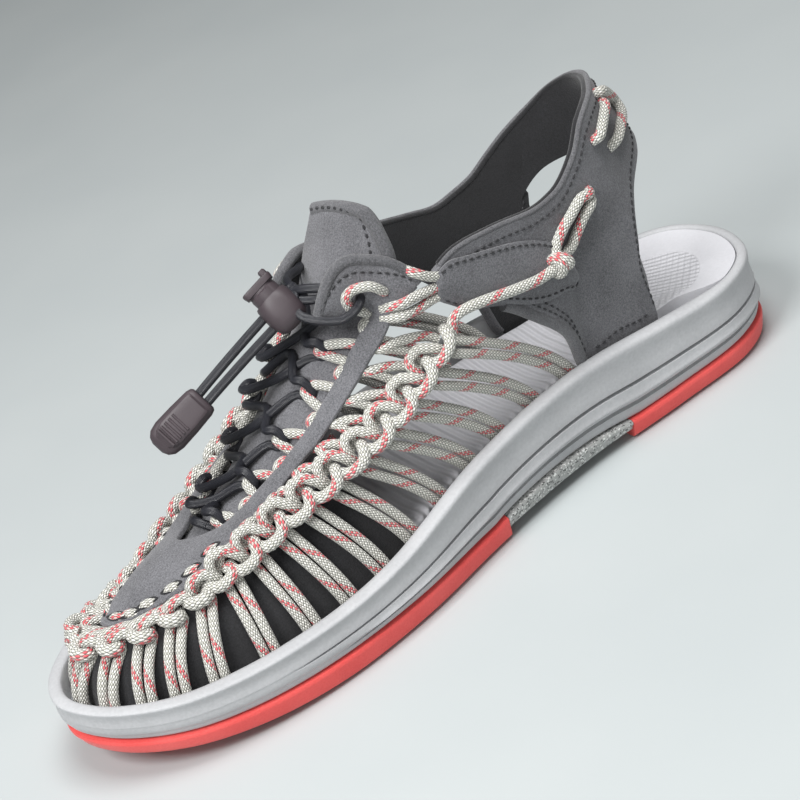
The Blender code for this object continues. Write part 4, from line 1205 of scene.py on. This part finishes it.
# %% Tongue
TONGUE = [
    ((190, -10, 40.5), (190, 1, 43.5), (190, 12, 40.5)), ((178, -13, 40.5), (178, 1, 46), (178, 15, 40.5)),
    ((162, -16, 45), (162, 1, 53.5), (162, 18, 45)), ((147, -17, 53.5), (147, 1, 64), (147, 19, 53.5)),
    ((133, -17.5, 62.5), (133, 1, 75), (133, 19.5, 62.5)),
    ((121, -17.5, 72.5), (121, 1, 85.5), (121, 19.5, 72.5)),
    ((111, -17, 87), (108.5, 1, 96), (106, 19, 84)), ((102.5, -14.5, 104), (99, 1, 107), (92.5, 18, 100)),
    ((98.5, -11.5, 113), (94.8, 1, 115.3), (90.6, 14.5, 110)),
    ((97.2, -11, 115.4), (93.6, 1, 116.9), (90.4, 12.2, 114.2)),
    ((96.8, -10.6, 116.2), (93.2, 1, 117.6), (90.6, 10.6, 116.2)),
]
TONGUE_MIDDLE, TONGUE_WALL, TONGUE_FILL = 1.0, 3.2, 0.3
tongue_lateral, tongue_crown, tongue_medial = (through([row[k] for row in TONGUE], 6) for k in range(3))


def tongue_at(station_number, side, lift=0.0):
    # Point on the arch of one station: side -1 is lateral, 1 is medial
    low, high, near = (line[station_number] for line in (tongue_lateral, tongue_crown, tongue_medial))
    raised = np.array([lift * 0.6, 0, lift])
    return high + (near - low) / 2 * side + ((near + low) / 2 - high) * side ** 2 + raised


def tongue_point(x, y, lift):
    # Point on the tongue above a place in plan
    order = np.argsort(tongue_crown[:, 0])
    places = tongue_crown[order, 0]
    height = np.interp(x, places, tongue_crown[order, 2])
    half_width = np.interp(x, places, (tongue_medial - tongue_lateral)[order, 1] / 2)
    drop = height - np.interp(x, places, ((tongue_medial + tongue_lateral) / 2)[order, 2])
    side = np.clip((y - TONGUE_MIDDLE) / half_width, -1.1, 1.1)
    return np.array([x, y, height - drop * side ** 2 + lift])


stations = range(len(tongue_crown))
grid = np.array([[tongue_at(number, side) for side in np.linspace(1, -1, 19)] for number in stations])
tongue = cloth_wall("tongue_microfibre", grid, TONGUE_WALL, microfibre, lining, 1.0)
settle(tongue, "microfibre", "tongue")

# %% [markdown]
# The top of the tongue and the medial edge below it are bound: a strip of microfibre is folded over the edge
# and sewn down. It is a soft roll along the edge with a dark row of stitches just inside it.

# %% Tongue binding
BOUND_FROM, TONGUE_ROLL = 37, 4.6
bound = [tongue_at(number, 1.0) for number in range(BOUND_FROM, len(tongue_crown))]
bound += [tongue_at(-1, side) for side in np.linspace(0.9, -1.0, 20)]
bound = even(np.array(bound), 90)
cord_piece("tongue_binding", [bound], TONGUE_ROLL, binding, "microfibre", "tongue", Sides=14)
SEAM_LIFT, TONGUE_THREAD = TONGUE_WALL / 2 + 0.2, 1.2
seam = [tongue_at(number, 0.76, SEAM_LIFT) for number in range(BOUND_FROM, len(tongue_crown) - 8)]
seam += [tongue_at(-9, side, SEAM_LIFT + 0.2) for side in np.linspace(0.7, -0.85, 15)]
tongue_seam = along_paths("tongue_seam", [even(np.array(seam), 80)], stitch_tree, dark_thread,
                          Thickness=TONGUE_THREAD * MM)
settle(tongue_seam, "microfibre", "tongue")

# %% [markdown]
# ## Shade sheet in the toe
# Behind the front legs a charcoal sheet closes the toe from the footbed up to the braid, painted shade that
# stands in for the dark inside of the toe. It is thin and stretched inside the cage, so it follows the legs a
# few millimetres further in.

# %% Toe shade sheet
SHADE_SHEET_FROM, SHADE_SHEET_TO, SHADE_SHEET_WALL = 5.9, 22.3, 0.9
SHADE_SHEET_CORE_X, SHADE_SHEET_CORE_Y, SHADE_SHEET_INSIDE, SHADE_SHEET_SINK = 200.0, 3.0, 3.6, 0.5
SHADE_SHEET_TOP_IN, SHADE_SHEET_TOP_BEHIND = 2.5, 4.6
SHADE_SHEET_SHARES = np.linspace(SHADE_SHEET_FROM / PAIRS, SHADE_SHEET_TO / PAIRS, 90)
foot = even(feather_line, SHADE_SHEET_SHARES)
top, _, inwards, outwards = braid_axes(SHADE_SHEET_SHARES)
core_x, core_y = np.minimum(foot[:, 0], SHADE_SHEET_CORE_X), np.full(len(foot), SHADE_SHEET_CORE_Y)
middle = np.column_stack([core_x, core_y, foot[:, 2]])
foot = foot + unit(middle - foot) * SHADE_SHEET_INSIDE - np.array([0, 0, SHADE_SHEET_SINK])
top = top + inwards * SHADE_SHEET_TOP_IN - outwards * SHADE_SHEET_TOP_BEHIND
knee = foot + (top - foot) * np.array([leg_knee(share * PAIRS - 0.5) for share in SHADE_SHEET_SHARES])
grid = np.array([bow(foot, knee, top, share) for share in np.linspace(0, 1, 13)])
# A dark sheet that stands in for the shade inside the toe: painted shade
toe_shade_sheet = cloth_wall("toe_shade_sheet", grid, SHADE_SHEET_WALL, lining, lining, 0.3)
settle(toe_shade_sheet, "microfibre", "upper")
cut_size = (max(line_length(line) for line in grid), max(line_length(line) for line in grid.swapaxes(0, 1)))
print("lining cut", [round(side) for side in cut_size], "mm")

# %% [markdown]
# ## Eyestay tabs
# At the top of each eyestay the microfibre widens into a rounded tab with a thick turned edge and a row of
# stitches inside it. The lateral tab is lower. Between its upper and its lower outline a tab is a small
# curved sheet, and the turned edge is a soft roll.

# %% Tabs
TAB_UPPER = [
    (120.9, 17, 97.6), (114.1, 17.5, 106.1), (109.4, 18.5, 109.5), (105.8, 20, 110.3), (100.4, 22, 107.9),
    (95.7, 24, 104.6), (91.7, 26, 99.4), (90.4, 27.5, 94.6),
]
TAB_LOWER = [
    (120.9, 17, 97.6), (116, 18.3, 95.8), (111, 19.9, 94.6), (107, 21.5, 93), (103.5, 24, 92),
    (101.2, 26.6, 91.5), (96.5, 27.4, 92.4), (90.4, 27.5, 94.6),
]
TAB_ROLL, TAB_WALL, TAB_SEAM = 3.8, 2.0, 0.76
TAB_BASE, LATERAL_HEIGHT = 92.0, 0.6
TAB_BULGE, TAB_OUT = 1.0, (0.3, 0.55, 0.3)


def mirrored(points):
    # Lateral side of a medial line, which stands lower
    x, y, z = np.asarray(points, float).T
    return np.column_stack([x, MIRROR_Y - y, TAB_BASE + (z - TAB_BASE) * LATERAL_HEIGHT])


tab_rolls, tab_seams = [], []
for name in ("medial", "lateral"):
    upper, lower = (np.array(table, float) if name == "medial" else mirrored(table)
                    for table in (TAB_UPPER, TAB_LOWER))
    upper, lower = even(through(upper, 6), 41), even(through(lower, 6), 41)
    bulge = np.array(TAB_OUT) * [1, 1 if name == "medial" else -1, 1]
    steps = np.linspace(0, 1, 13)
    grid = np.array([[high * s + low * (1 - s) + bulge * TAB_BULGE * math.sin(math.pi * s) for s in steps]
                     for high, low in zip(upper[1:-1], lower[1:-1])])
    tab_rolls.append(even(upper, 60))
    out = bulge / np.linalg.norm(bulge) * (TAB_WALL / 2 + 0.2)
    swell = bulge * TAB_BULGE * math.sin(math.pi * TAB_SEAM)
    tab_seams.append([high * TAB_SEAM + low * (1 - TAB_SEAM) + swell + out
                      for high, low in zip(upper[3:-3], lower[3:-3])])
    if name == "lateral":
        grid = grid[:, ::-1]
    tab = cloth_wall(f"eyestay_tab_{name}", grid, TAB_WALL, microfibre, lining, 0.6)
    settle(tab, "microfibre", "upper")
cord_piece("tab_edges", tab_rolls, TAB_ROLL, binding, "microfibre", "upper", Sides=12)
tab_stitches = along_paths("tab_seams", tab_seams, stitch_tree, dark_thread)
settle(tab_stitches, "microfibre", "upper")

# %% [markdown]
# ## Heel strap
# The strap rises from both sides of the sole and passes behind the ankle, where its rim leans forward. Its
# lower and upper edge are two lines of points; the wall is ruled between them, microfibre outside and
# lining inside.

# %% Strap lines
STRAP = [
    ((86, 27, 86), (83.5, 27, 95)), ((77, 27.5, 77.5), (75, 27.5, 98)), ((65.5, 28, 71.8), (59, 27.5, 97)),
    ((56, 27.3, 62), (44, 27, 94.3)), ((46, 26.2, 49), (37, 26.3, 94.5)),
    ((40.5, 22.6, 28.4), (31, 25.6, 96)), ((27, 22.6, 28), (22, 24.4, 102.5)),
    ((12.5, 22.6, 27.5), (15.5, 22.4, 109.5)), ((9, 22.8, 60), (10, 19.3, 111.9)),
    ((3, 19.5, 76), (4.5, 14.5, 112.5)), ((-8, 11.5, 84.5), (-0.5, 8, 113.2)),
    ((-13, 0, 86.5), (-4.3, 0, 112.3)), ((-2, -11.5, 83.5), (-4.5, -8, 110.5)),
    ((11, -19.5, 80.2), (0.5, -14.5, 107.5)), ((20.5, -24.3, 69), (8, -19.3, 102.5)),
    ((24, -25.8, 27.9), (18, -23, 97)), ((32, -26.8, 28.1), (26, -24.9, 92.2)),
    ((40.5, -28.0, 28.4), (33, -26.2, 88)), ((46, -28.4, 47), (41, -27, 86)),
    ((56, -28.4, 58), (49, -27.5, 85)), ((65.5, -28, 69), (60, -27.5, 88)),
    ((77, -27.5, 75), (75, -27.5, 92)), ((86, -27, 82.8), (83.5, -27, 91.8)),
]
STRAP_LAST = len(STRAP) - 1
STRAP_WALL = 3.0
STRAP_STEPS = 8
strap_lower, strap_upper = (through([row[k] for row in STRAP], STRAP_STEPS) for k in (0, 1))
strap_rows = np.linspace(0, STRAP_LAST, len(strap_lower))


def strap_place(row, share):
    # Point in the middle of the strap's wall
    low, high = (at_row(row, strap_rows, edge) for edge in (strap_lower, strap_upper))
    return low * (1 - share) + high * share


def strap_point(row, share, lift=0.0):
    # Point at a row and a share of the strap's height, lifted out of its wall
    ahead = strap_place(row + 0.15, share) - strap_place(row - 0.15, share)
    outward = unit(np.cross(ahead, strap_place(row, 1.0) - strap_place(row, 0.0)))
    return strap_place(row, share) + outward * lift


def strap_row(row, side):
    # Row of the table, counted from the front end on that side
    return row if side == "medial" else STRAP_LAST - row


def strap_height(row):
    # Height of the strap along its wall
    return np.linalg.norm(strap_place(row, 1.0) - strap_place(row, 0.0))


STRAP_COLUMNS = np.linspace(0, 1, 15)
grid = np.array([[low_point * (1 - s) + high_point * s for s in STRAP_COLUMNS]
                 for low_point, high_point in zip(strap_lower, strap_upper)])
strap = cloth_wall("heel_strap_microfibre", grid, STRAP_WALL, microfibre, lining, 1.1)
settle(strap, "microfibre", "heel_strap")

# %% [markdown]
# The rim of the strap shows two turned layers side by side, outer and lining, and the arch under the sleeve
# has a bound edge. All three are soft rolls along the edges.

# %% Strap edges
LAYER_ROLL, LAYER_SHIFT = 1.8, 0.8
LAYERS = (("strap_rim_outer", LAYER_SHIFT, binding), ("strap_rim_lining", -LAYER_SHIFT, lining))
rim_rows = np.linspace(0.3, STRAP_LAST - 0.3, 240)
for name, shift, finish in LAYERS:
    path = [strap_point(row, 1.0, shift) for row in rim_rows]
    cord_piece(name, [path], LAYER_ROLL, finish, "microfibre", "heel_strap", Sides=10)
ARCH_ROWS, ARCH_ROLL = (2.0, 4.85), 4.2
arches = []
for start, end in (ARCH_ROWS, [STRAP_LAST - row for row in ARCH_ROWS]):
    arches.append([strap_point(row, 0.0, 0.2) for row in np.linspace(start, end, 60)])
cord_piece("strap_arch_binding", arches, ARCH_ROLL, binding, "microfibre", "heel_strap", Sides=12)

# %% [markdown]
# ## Sleeve
# On each side a second layer is sewn over the front of the strap and makes the sleeve that takes the tab
# cords. It is a thin sheet laid on the strap between two lines that close in a rounded end.

# %% Sleeve
SLEEVE_UPPER = [
    (-0.05, 0.55), (0.0, 0.9), (0.3, 0.98), (0.8, 0.93), (1.25, 0.84), (1.9, 0.78), (2.5, 0.76),
    (3.15, 0.72), (4.0, 0.66), (4.6, 0.61), (4.8, 0.54),
]
SLEEVE_LOWER = [
    (-0.05, 0.45), (0.0, 0.06), (0.3, 0.02), (0.8, 0.02), (1.4, 0.03), (2.0, 0.04), (2.6, 0.08),
    (3.25, 0.17), (4.0, 0.32), (4.6, 0.45), (4.8, 0.52),
]
SLEEVE_LIFT, SLEEVE_WALL, SLEEVE_CROWN, SLEEVE_SEAM = STRAP_WALL / 2 + 0.5, 1.4, 1.2, 0.86
sleeve_stitches = []
for name in ("medial", "lateral"):
    upper, lower = (even(through([(row, share, 0) for row, share in table], 6), 50)
                    for table in (SLEEVE_UPPER, SLEEVE_LOWER))
    sheet_rows = []
    for top_place, low_place in zip(upper, lower):
        line = []
        for s in np.linspace(0, 1, 13):
            row, share, _ = top_place * s + low_place * (1 - s)
            lift = SLEEVE_LIFT + SLEEVE_CROWN * math.sin(math.pi * s)
            line.append(strap_point(strap_row(row, name), share, lift))
        sheet_rows.append(line)
    grid = np.array(sheet_rows)
    if name == "lateral":
        grid = grid[:, ::-1]
    sleeve = cloth_wall(f"strap_sleeve_{name}", grid, SLEEVE_WALL, microfibre, microfibre, 0.5)
    settle(sleeve, "microfibre", "heel_strap")
    border = np.concatenate([upper[6:], lower[::-1][:-6]])
    line = [(strap_row(row, name), 0.5 + (share - 0.5) * SLEEVE_SEAM) for row, share, _ in border]
    sleeve_stitches.append([strap_point(*place, SLEEVE_LIFT + SLEEVE_WALL / 2 + 0.5) for place in line])

# %% Strap seams
THREAD_LIFT = STRAP_WALL / 2 + 0.15
RIM_SEAM, LOW_SEAMS, FOOT_SEAM = 4.0, (3.4, 5.6), 9.0
LOW_RUNS = ((2.0, 4.7, LOW_SEAMS), (7.3, 14.7, LOW_SEAMS[:1]), (17.3, 20.0, LOW_SEAMS))
seams = list(sleeve_stitches)
edge_rows = np.linspace(0.4, STRAP_LAST - 0.4, 260)
seams.append([strap_point(row, 1 - RIM_SEAM / strap_height(row), THREAD_LIFT) for row in edge_rows])
for start, end, insets in LOW_RUNS:
    rows = np.linspace(start, end, 120)
    for inset in insets:
        seams.append([strap_point(row, inset / strap_height(row), THREAD_LIFT) for row in rows])
for start, end in ((5.3, 6.8), (15.2, 16.7)):
    rows = np.linspace(start, end, 40)
    seams.append([strap_point(row, FOOT_SEAM / strap_height(row), THREAD_LIFT) for row in rows])
strap_seams = along_paths("strap_seams", seams, stitch_tree, dark_thread)
settle(strap_seams, "microfibre", "heel_strap")

# %% [markdown]
# ## Heel cords
# From the end of each braid one cord climbs the strap to a knot, and from the knot a doubled bight runs on
# to a hole in the strap. Behind the ankle a second bight shows as two short cords, one inside the other.

# %% Heel cords
CORD_LIFT = STRAP_WALL / 2 + SLEEVE_WALL + 0.5 + CORD / 2 - 0.4
BIGHT_LIFT = STRAP_WALL / 2 + CORD / 2 - 0.1
HEEL_RUN = [(2.3, 0.26), (2.9, 0.37), (3.4, 0.47)]
HEEL_KNOT = (3.62, 0.53)
BIGHT_LEFT = [(3.75, 0.64), (4.3, 0.79), (5.0, 0.85), (5.6, 0.85), (6.0, 0.81)]
BIGHT_RIGHT = [(4.05, 0.6), (4.6, 0.68), (5.1, 0.74), (5.6, 0.765), (6.0, 0.765)]
BACK_OUTER = [(9.65, 0.87), (9.98, 0.79), (10.3, 0.66), (10.55, 0.5), (10.3, 0.4), (9.6, 0.45), (9.0, 0.51)]
BACK_INNER = [(9.35, 0.79), (8.8, 0.8), (8.2, 0.815), (7.65, 0.85)]
KNOT_RINGS = ((0.0, 2.6, -1.2), (0.9, 2.4, 1.1))
KNOT_LIFT, KNOT_WAVE, HOLE_DEPTH = 0.6, 1.5, 2.6
HEEL_START = [(-0.2, -0.5, -1.6), (0.3, 0.8, 1.8)]


def into_hole(end, before, place):
    # The end of a cord taken half a step on and sunk through the strap
    return end * 1.5 - before * 0.5 + strap_point(*place, -HOLE_DEPTH) - strap_point(*place)


def strap_cord(table, side, start_hole):
    # Cord that lies on the strap and ends in a hole; it may start in one too
    on_side = [(strap_row(row, side), share) for row, share in table]
    points = [strap_point(*place, BIGHT_LIFT) for place in on_side]
    if start_hole:
        points.insert(0, into_hole(points[0], points[1], on_side[0]))
    points.append(into_hole(points[-1], points[-2], on_side[-1]))
    return points


for name in ("medial", "lateral"):
    places = [(strap_row(row, name), share) for row, share in HEEL_RUN + [HEEL_KNOT]]
    end = braid_points(0 if name == "medial" else PAIRS - 1, HEEL_START)
    run = [strap_point(*place, CORD_LIFT) for place in places[:-1]]
    knot = strap_point(*places[-1], CORD_LIFT + KNOT_LIFT)
    paths = [through([*end, *run, knot], 6)]
    for table in (BIGHT_LEFT, BIGHT_RIGHT):
        paths.append(through([knot, *strap_cord(table, name, False)], 6))
    ahead = unit(paths[0][-1] - paths[0][-6])
    across = unit(np.cross(ahead, paths[1][8] - knot))
    aside = np.cross(ahead, across)
    for tilt, reach, step in KNOT_RINGS:
        ring_points = []
        for angle in np.linspace(0, 2 * math.pi, 25):
            spoke = aside * math.cos(angle) * reach + across * math.sin(angle) * reach
            ring_points.append(knot + spoke + ahead * (math.sin(angle + tilt) * KNOT_WAVE + step))
        paths.append(np.array(ring_points))
    cord_piece(f"heel_cord_{name}_sheath", paths, CORD, cord_sheath, "cord", f"heel_cord_{name}",
               Sides=14, Seed=31)
    back_paths = [through(strap_cord(table, name, True), 6) for table in (BACK_OUTER, BACK_INNER)]
    cord_piece(f"back_cord_{name}_sheath", back_paths, CORD, cord_sheath, "cord", f"back_cord_{name}_1",
               f"back_cord_{name}_2", Sides=14, Seed=37)

# %% [markdown]
# ## Tab cords
# Cords leave each tab and go into the sleeve of the strap. They carry the pull of the lace to the heel.

# %% Tab cords
TAB_CORDS = [
    [(92, 25.4, 100.4), (90, 28.4, 98.6), (86.5, 28.8, 95.4), (80, 28.0, 91.5)],
    [(103.5, 24.5, 92.5), (99.0, 29.6, 92.9), (92.5, 29.6, 92.2), (86, 28.6, 90.6), (80, 28.0, 88.5)],
    [(104.5, 24.5, 89.6), (100.5, 29.4, 89.2), (93, 29.4, 88.2), (86.5, 28.5, 87.6), (80, 28.0, 85.5)],
]
LATERAL_DROP = -3.2
for name in ("medial", "lateral"):
    drop = np.array([0, 0, 0.0 if name == "medial" else LATERAL_DROP])
    flip = np.array([1, 1 if name == "medial" else -1, 1])
    paths = [through(np.array(points) * flip + drop, 6) for points in TAB_CORDS]
    cord_piece(f"tab_cords_{name}", paths, STRAND, cord_sheath, "cord", f"tab_cord_{name}_1",
               f"tab_cord_{name}_2", Sides=12, Seed=41)

# %% [markdown]
# ## Bights and edge dashes
# On the throat side of each eyestay the cage cord comes out as narrow U-shaped bights that carry the lace,
# and between two bights it shows as a short dash on the edge. Each row gives where a bight leaves the throat
# edge, where it comes back, and its tip on the medial and on the lateral side.

# %% Bights
BIGHTS = [
    (2.4, 3.4, (122.6, 10.4, 84.0), (129.8, -14.0, 78.4)),
    (5.0, 6.1, (132.0, 11.2, 75.3), (139.8, -13.5, 71.4)),
    (7.6, 8.7, (146.7, 10.3, 65.6), (152.6, -12.5, 60.8)),
    (10.0, 11.0, (160.6, 9.4, 58.2), (167.5, -11.0, 52.6)),
    (12.5, 13.3, (175.0, 7.5, 51.6), (175.5, -5.5, 51.2)),
]
EDGE_DASHES = [1.4, 4.1, 6.8, 9.5, 11.6]
EDGE_DASH = ((-0.34, 0.3, -2.2), (-0.22, -0.06, -0.2), (0.12, -0.08, -0.1), (0.3, 0.3, -2.2))
TIP_GAP, KNEE_BACK, KNEE_RISE = 0.5, 0.28, np.array([0, 0, 0.8])
BIGHT_ROOT, BIGHT_MOUTH = (0.4, -2.4), (-0.08, -0.5)
bight_paths = []
tips = {"medial": [], "lateral": []}
for name in ("medial", "lateral"):
    for first_row, second_row, medial_tip, lateral_tip in BIGHTS:
        rows = [row if name == "medial" else last_row - row for row in (first_row, second_row)]
        tip = np.array(medial_tip if name == "medial" else lateral_tip)
        hidden = [panel_point(row, *BIGHT_ROOT) for row in rows]
        edges = [panel_point(row, *BIGHT_MOUTH) for row in rows]
        base = (edges[0] + edges[1]) / 2
        knees = [tip + (edge - base) * TIP_GAP + (base - tip) * KNEE_BACK + KNEE_RISE for edge in edges]
        bight_paths.append(through([hidden[0], edges[0], knees[0], tip, knees[1], edges[1], hidden[1]], 6))
        tips[name].append((tip, unit(base - tip), unit(edges[1] - edges[0])))
    for row in EDGE_DASHES:
        places = []
        for step, share, lift in EDGE_DASH:
            place = row + step if name == "medial" else last_row - row - step
            places.append(panel_point(place, share, lift))
        bight_paths.append(through(places, 5))
TAB_BIGHT = [
    (99.5, 23.0, 95.6), (101.5, 26.3, 98.4), (105.1, 26.8, 102.4), (110.1, 24.5, 103.3),
    (112.6, 23.5, 101.6), (112.0, 22.5, 97.6), (108.6, 22.0, 93.9), (105.0, 20.5, 90.5),
]
for table in (TAB_BIGHT, mirrored(TAB_BIGHT)):
    bight_paths.append(through(table, 6))
cord_piece("lace_bights", bight_paths, STRAND, cord_sheath, "cord", "upper", Sides=12, Seed=47)

# %% [markdown]
# ## Elastic lace
# The lace leaves the back of the lock, hooks the bights at the two tabs and crosses the tongue from bight to
# bight, as on any laced shoe. Its two halves cross at the middle, one over the other, and meet at the bottom.

# %% Lace
TO_MEDIAL_TAB = [
    (124.6, 12.5, 100.2), (121.4, 18.2, 97.2), (115.8, 22.4, 95.4), (111.4, 24.8, 97.2),
    (108.6, 24.0, 98.6), (107.0, 20.0, 98.4), (110.5, 15.0, 96.6),
]
TO_LATERAL_TAB = [
    (119.8, 2.0, 105.2), (117.0, -4.0, 104.2), (110.5, -10.5, 101.4), (106.0, -16.5, 98.2),
    (108.0, -13.5, 94.6),
]
SHORT_RUNS = [
    [(121.0, 7.6, 105.0), (118.7, 10.5, 105.2), (114.5, 15.0, 104.2), (109.0, 17.0, 102.0)],
    [(120.6, 10.0, 102.0), (116.0, 14.5, 101.0), (110.0, 17.5, 98.8)],
]
CROSSING_LIFT, CROSSING_OVER, CROSSING_BACK = TONGUE_WALL / 2 + LACE / 2 + 0.6, 1.8, 4.5
TURN = ((-3.2, 0.6, 2.4), (-0.2, 0.4, 3.2), (2.9, 0.0, 0.6), (0.4, -0.4, -2.8), (-3.2, -0.6, -2.2))
lace_paths = []
for start, first_side, hole in ((TO_MEDIAL_TAB, "lateral", 1), (TO_LATERAL_TAB, "medial", -1)):
    other = "medial" if first_side == "lateral" else "lateral"
    points = [lock_point(-4.0, 0, HOLE_SPREAD * hole), lock_point(-7.5, 0.5, HOLE_SPREAD * hole)]
    points += [np.array(point) for point in start]
    for number in range(len(BIGHTS)):
        tip, to_edge, to_toe = tips[first_side if number % 2 == 0 else other][number]
        over = CROSSING_OVER if (number % 2 == 0) == (hole > 0) else 0.0
        points.append(tongue_point(tip[0] - CROSSING_BACK, TONGUE_MIDDLE, CROSSING_LIFT + over))
        for inward, back_step, lift in TURN:
            points.append(tip + to_edge * inward - to_toe * back_step + np.array([0, 0, lift]))
    lace_paths.append(through(points, 6))
ends = [path[-1] for path in lace_paths]
lace_paths.append(through([ends[0], (ends[0] + ends[1]) / 2 + np.array([1.5, 0, 1.4]), ends[1]], 8))
for run in SHORT_RUNS:
    lace_paths.append(through([lock_point(-3.0, 0, HOLE_SPREAD), *run], 6))
cord_piece("elastic_lace", lace_paths, LACE, elastic, "elastic", "lace", Sides=14, Seed=53)

# %% [markdown]
# ## Cord lock
# The lock is a moulded barrel with a sprung button. Pressing the button lines up its holes with those of the
# barrel and frees the lace. The barrel bulges like a small cask and keeps its bore, so the button can really
# slide into it. The button ends in a flat thumb plate with a step.

# %% Cord lock
def lock_ring(z, half_x, half_y, power, shift=0.0):
    # Section of the lock at a height over its centre
    return [lock_point(shift + x, y, z) for x, y in rounded_section(half_x, half_y, power, 40)]


BARREL = [
    (-4.5, 2.0, 2.0, 2.0), (-4.5, 5.3, 5.3, 2.0), (4.7, 5.3, 5.3, 2.0), (5.1, 5.45, 5.45, 2.0),
    (5.2, 5.7, 5.6, 2.1), (4.6, 6.0, 5.8, 2.3), (2.4, 6.3, 6.0, 2.6), (-0.4, 6.5, 6.1, 2.8),
    (-3.2, 6.2, 5.9, 2.7), (-5.2, 5.6, 5.3, 2.5), (-6.3, 4.4, 4.1, 2.3), (-6.8, 2.2, 2.0, 2.0),
]
BUTTON = [
    (-0.5, 4.4, 4.4, 2.0), (0.0, 4.9, 4.9, 2.0), (7.8, 4.9, 4.9, 2.0), (8.3, 4.7, 4.2, 2.4),
    (8.9, 4.8, 4.1, 3.2), (9.1, 5.5, 4.3, 5.0), (10.6, 5.8, 4.5, 6.0), (11.1, 5.7, 4.4, 6.0),
    (11.3, 5.3, 4.0, 6.0),
]
STEP = [(11.0, 1.3, 4.0, 5.0), (12.4, 1.3, 4.0, 5.0), (12.9, 1.0, 3.7, 5.0)]
STEP_SHIFT = -4.1
barrel = capped_loft("lock_barrel_shell", [lock_ring(*row) for row in BARREL], plastic, 35.0)
settle(barrel, "lock_plastic", "lock_barrel")
button = capped_loft("lock_button_cap", [lock_ring(*row) for row in BUTTON], plastic, 30.0)
settle(button, "lock_plastic", "lock_button", body="button")
step = capped_loft("lock_button_step", [lock_ring(*row, STEP_SHIFT) for row in STEP], plastic, 30.0)
settle(step, "lock_plastic", "lock_button", body="button")
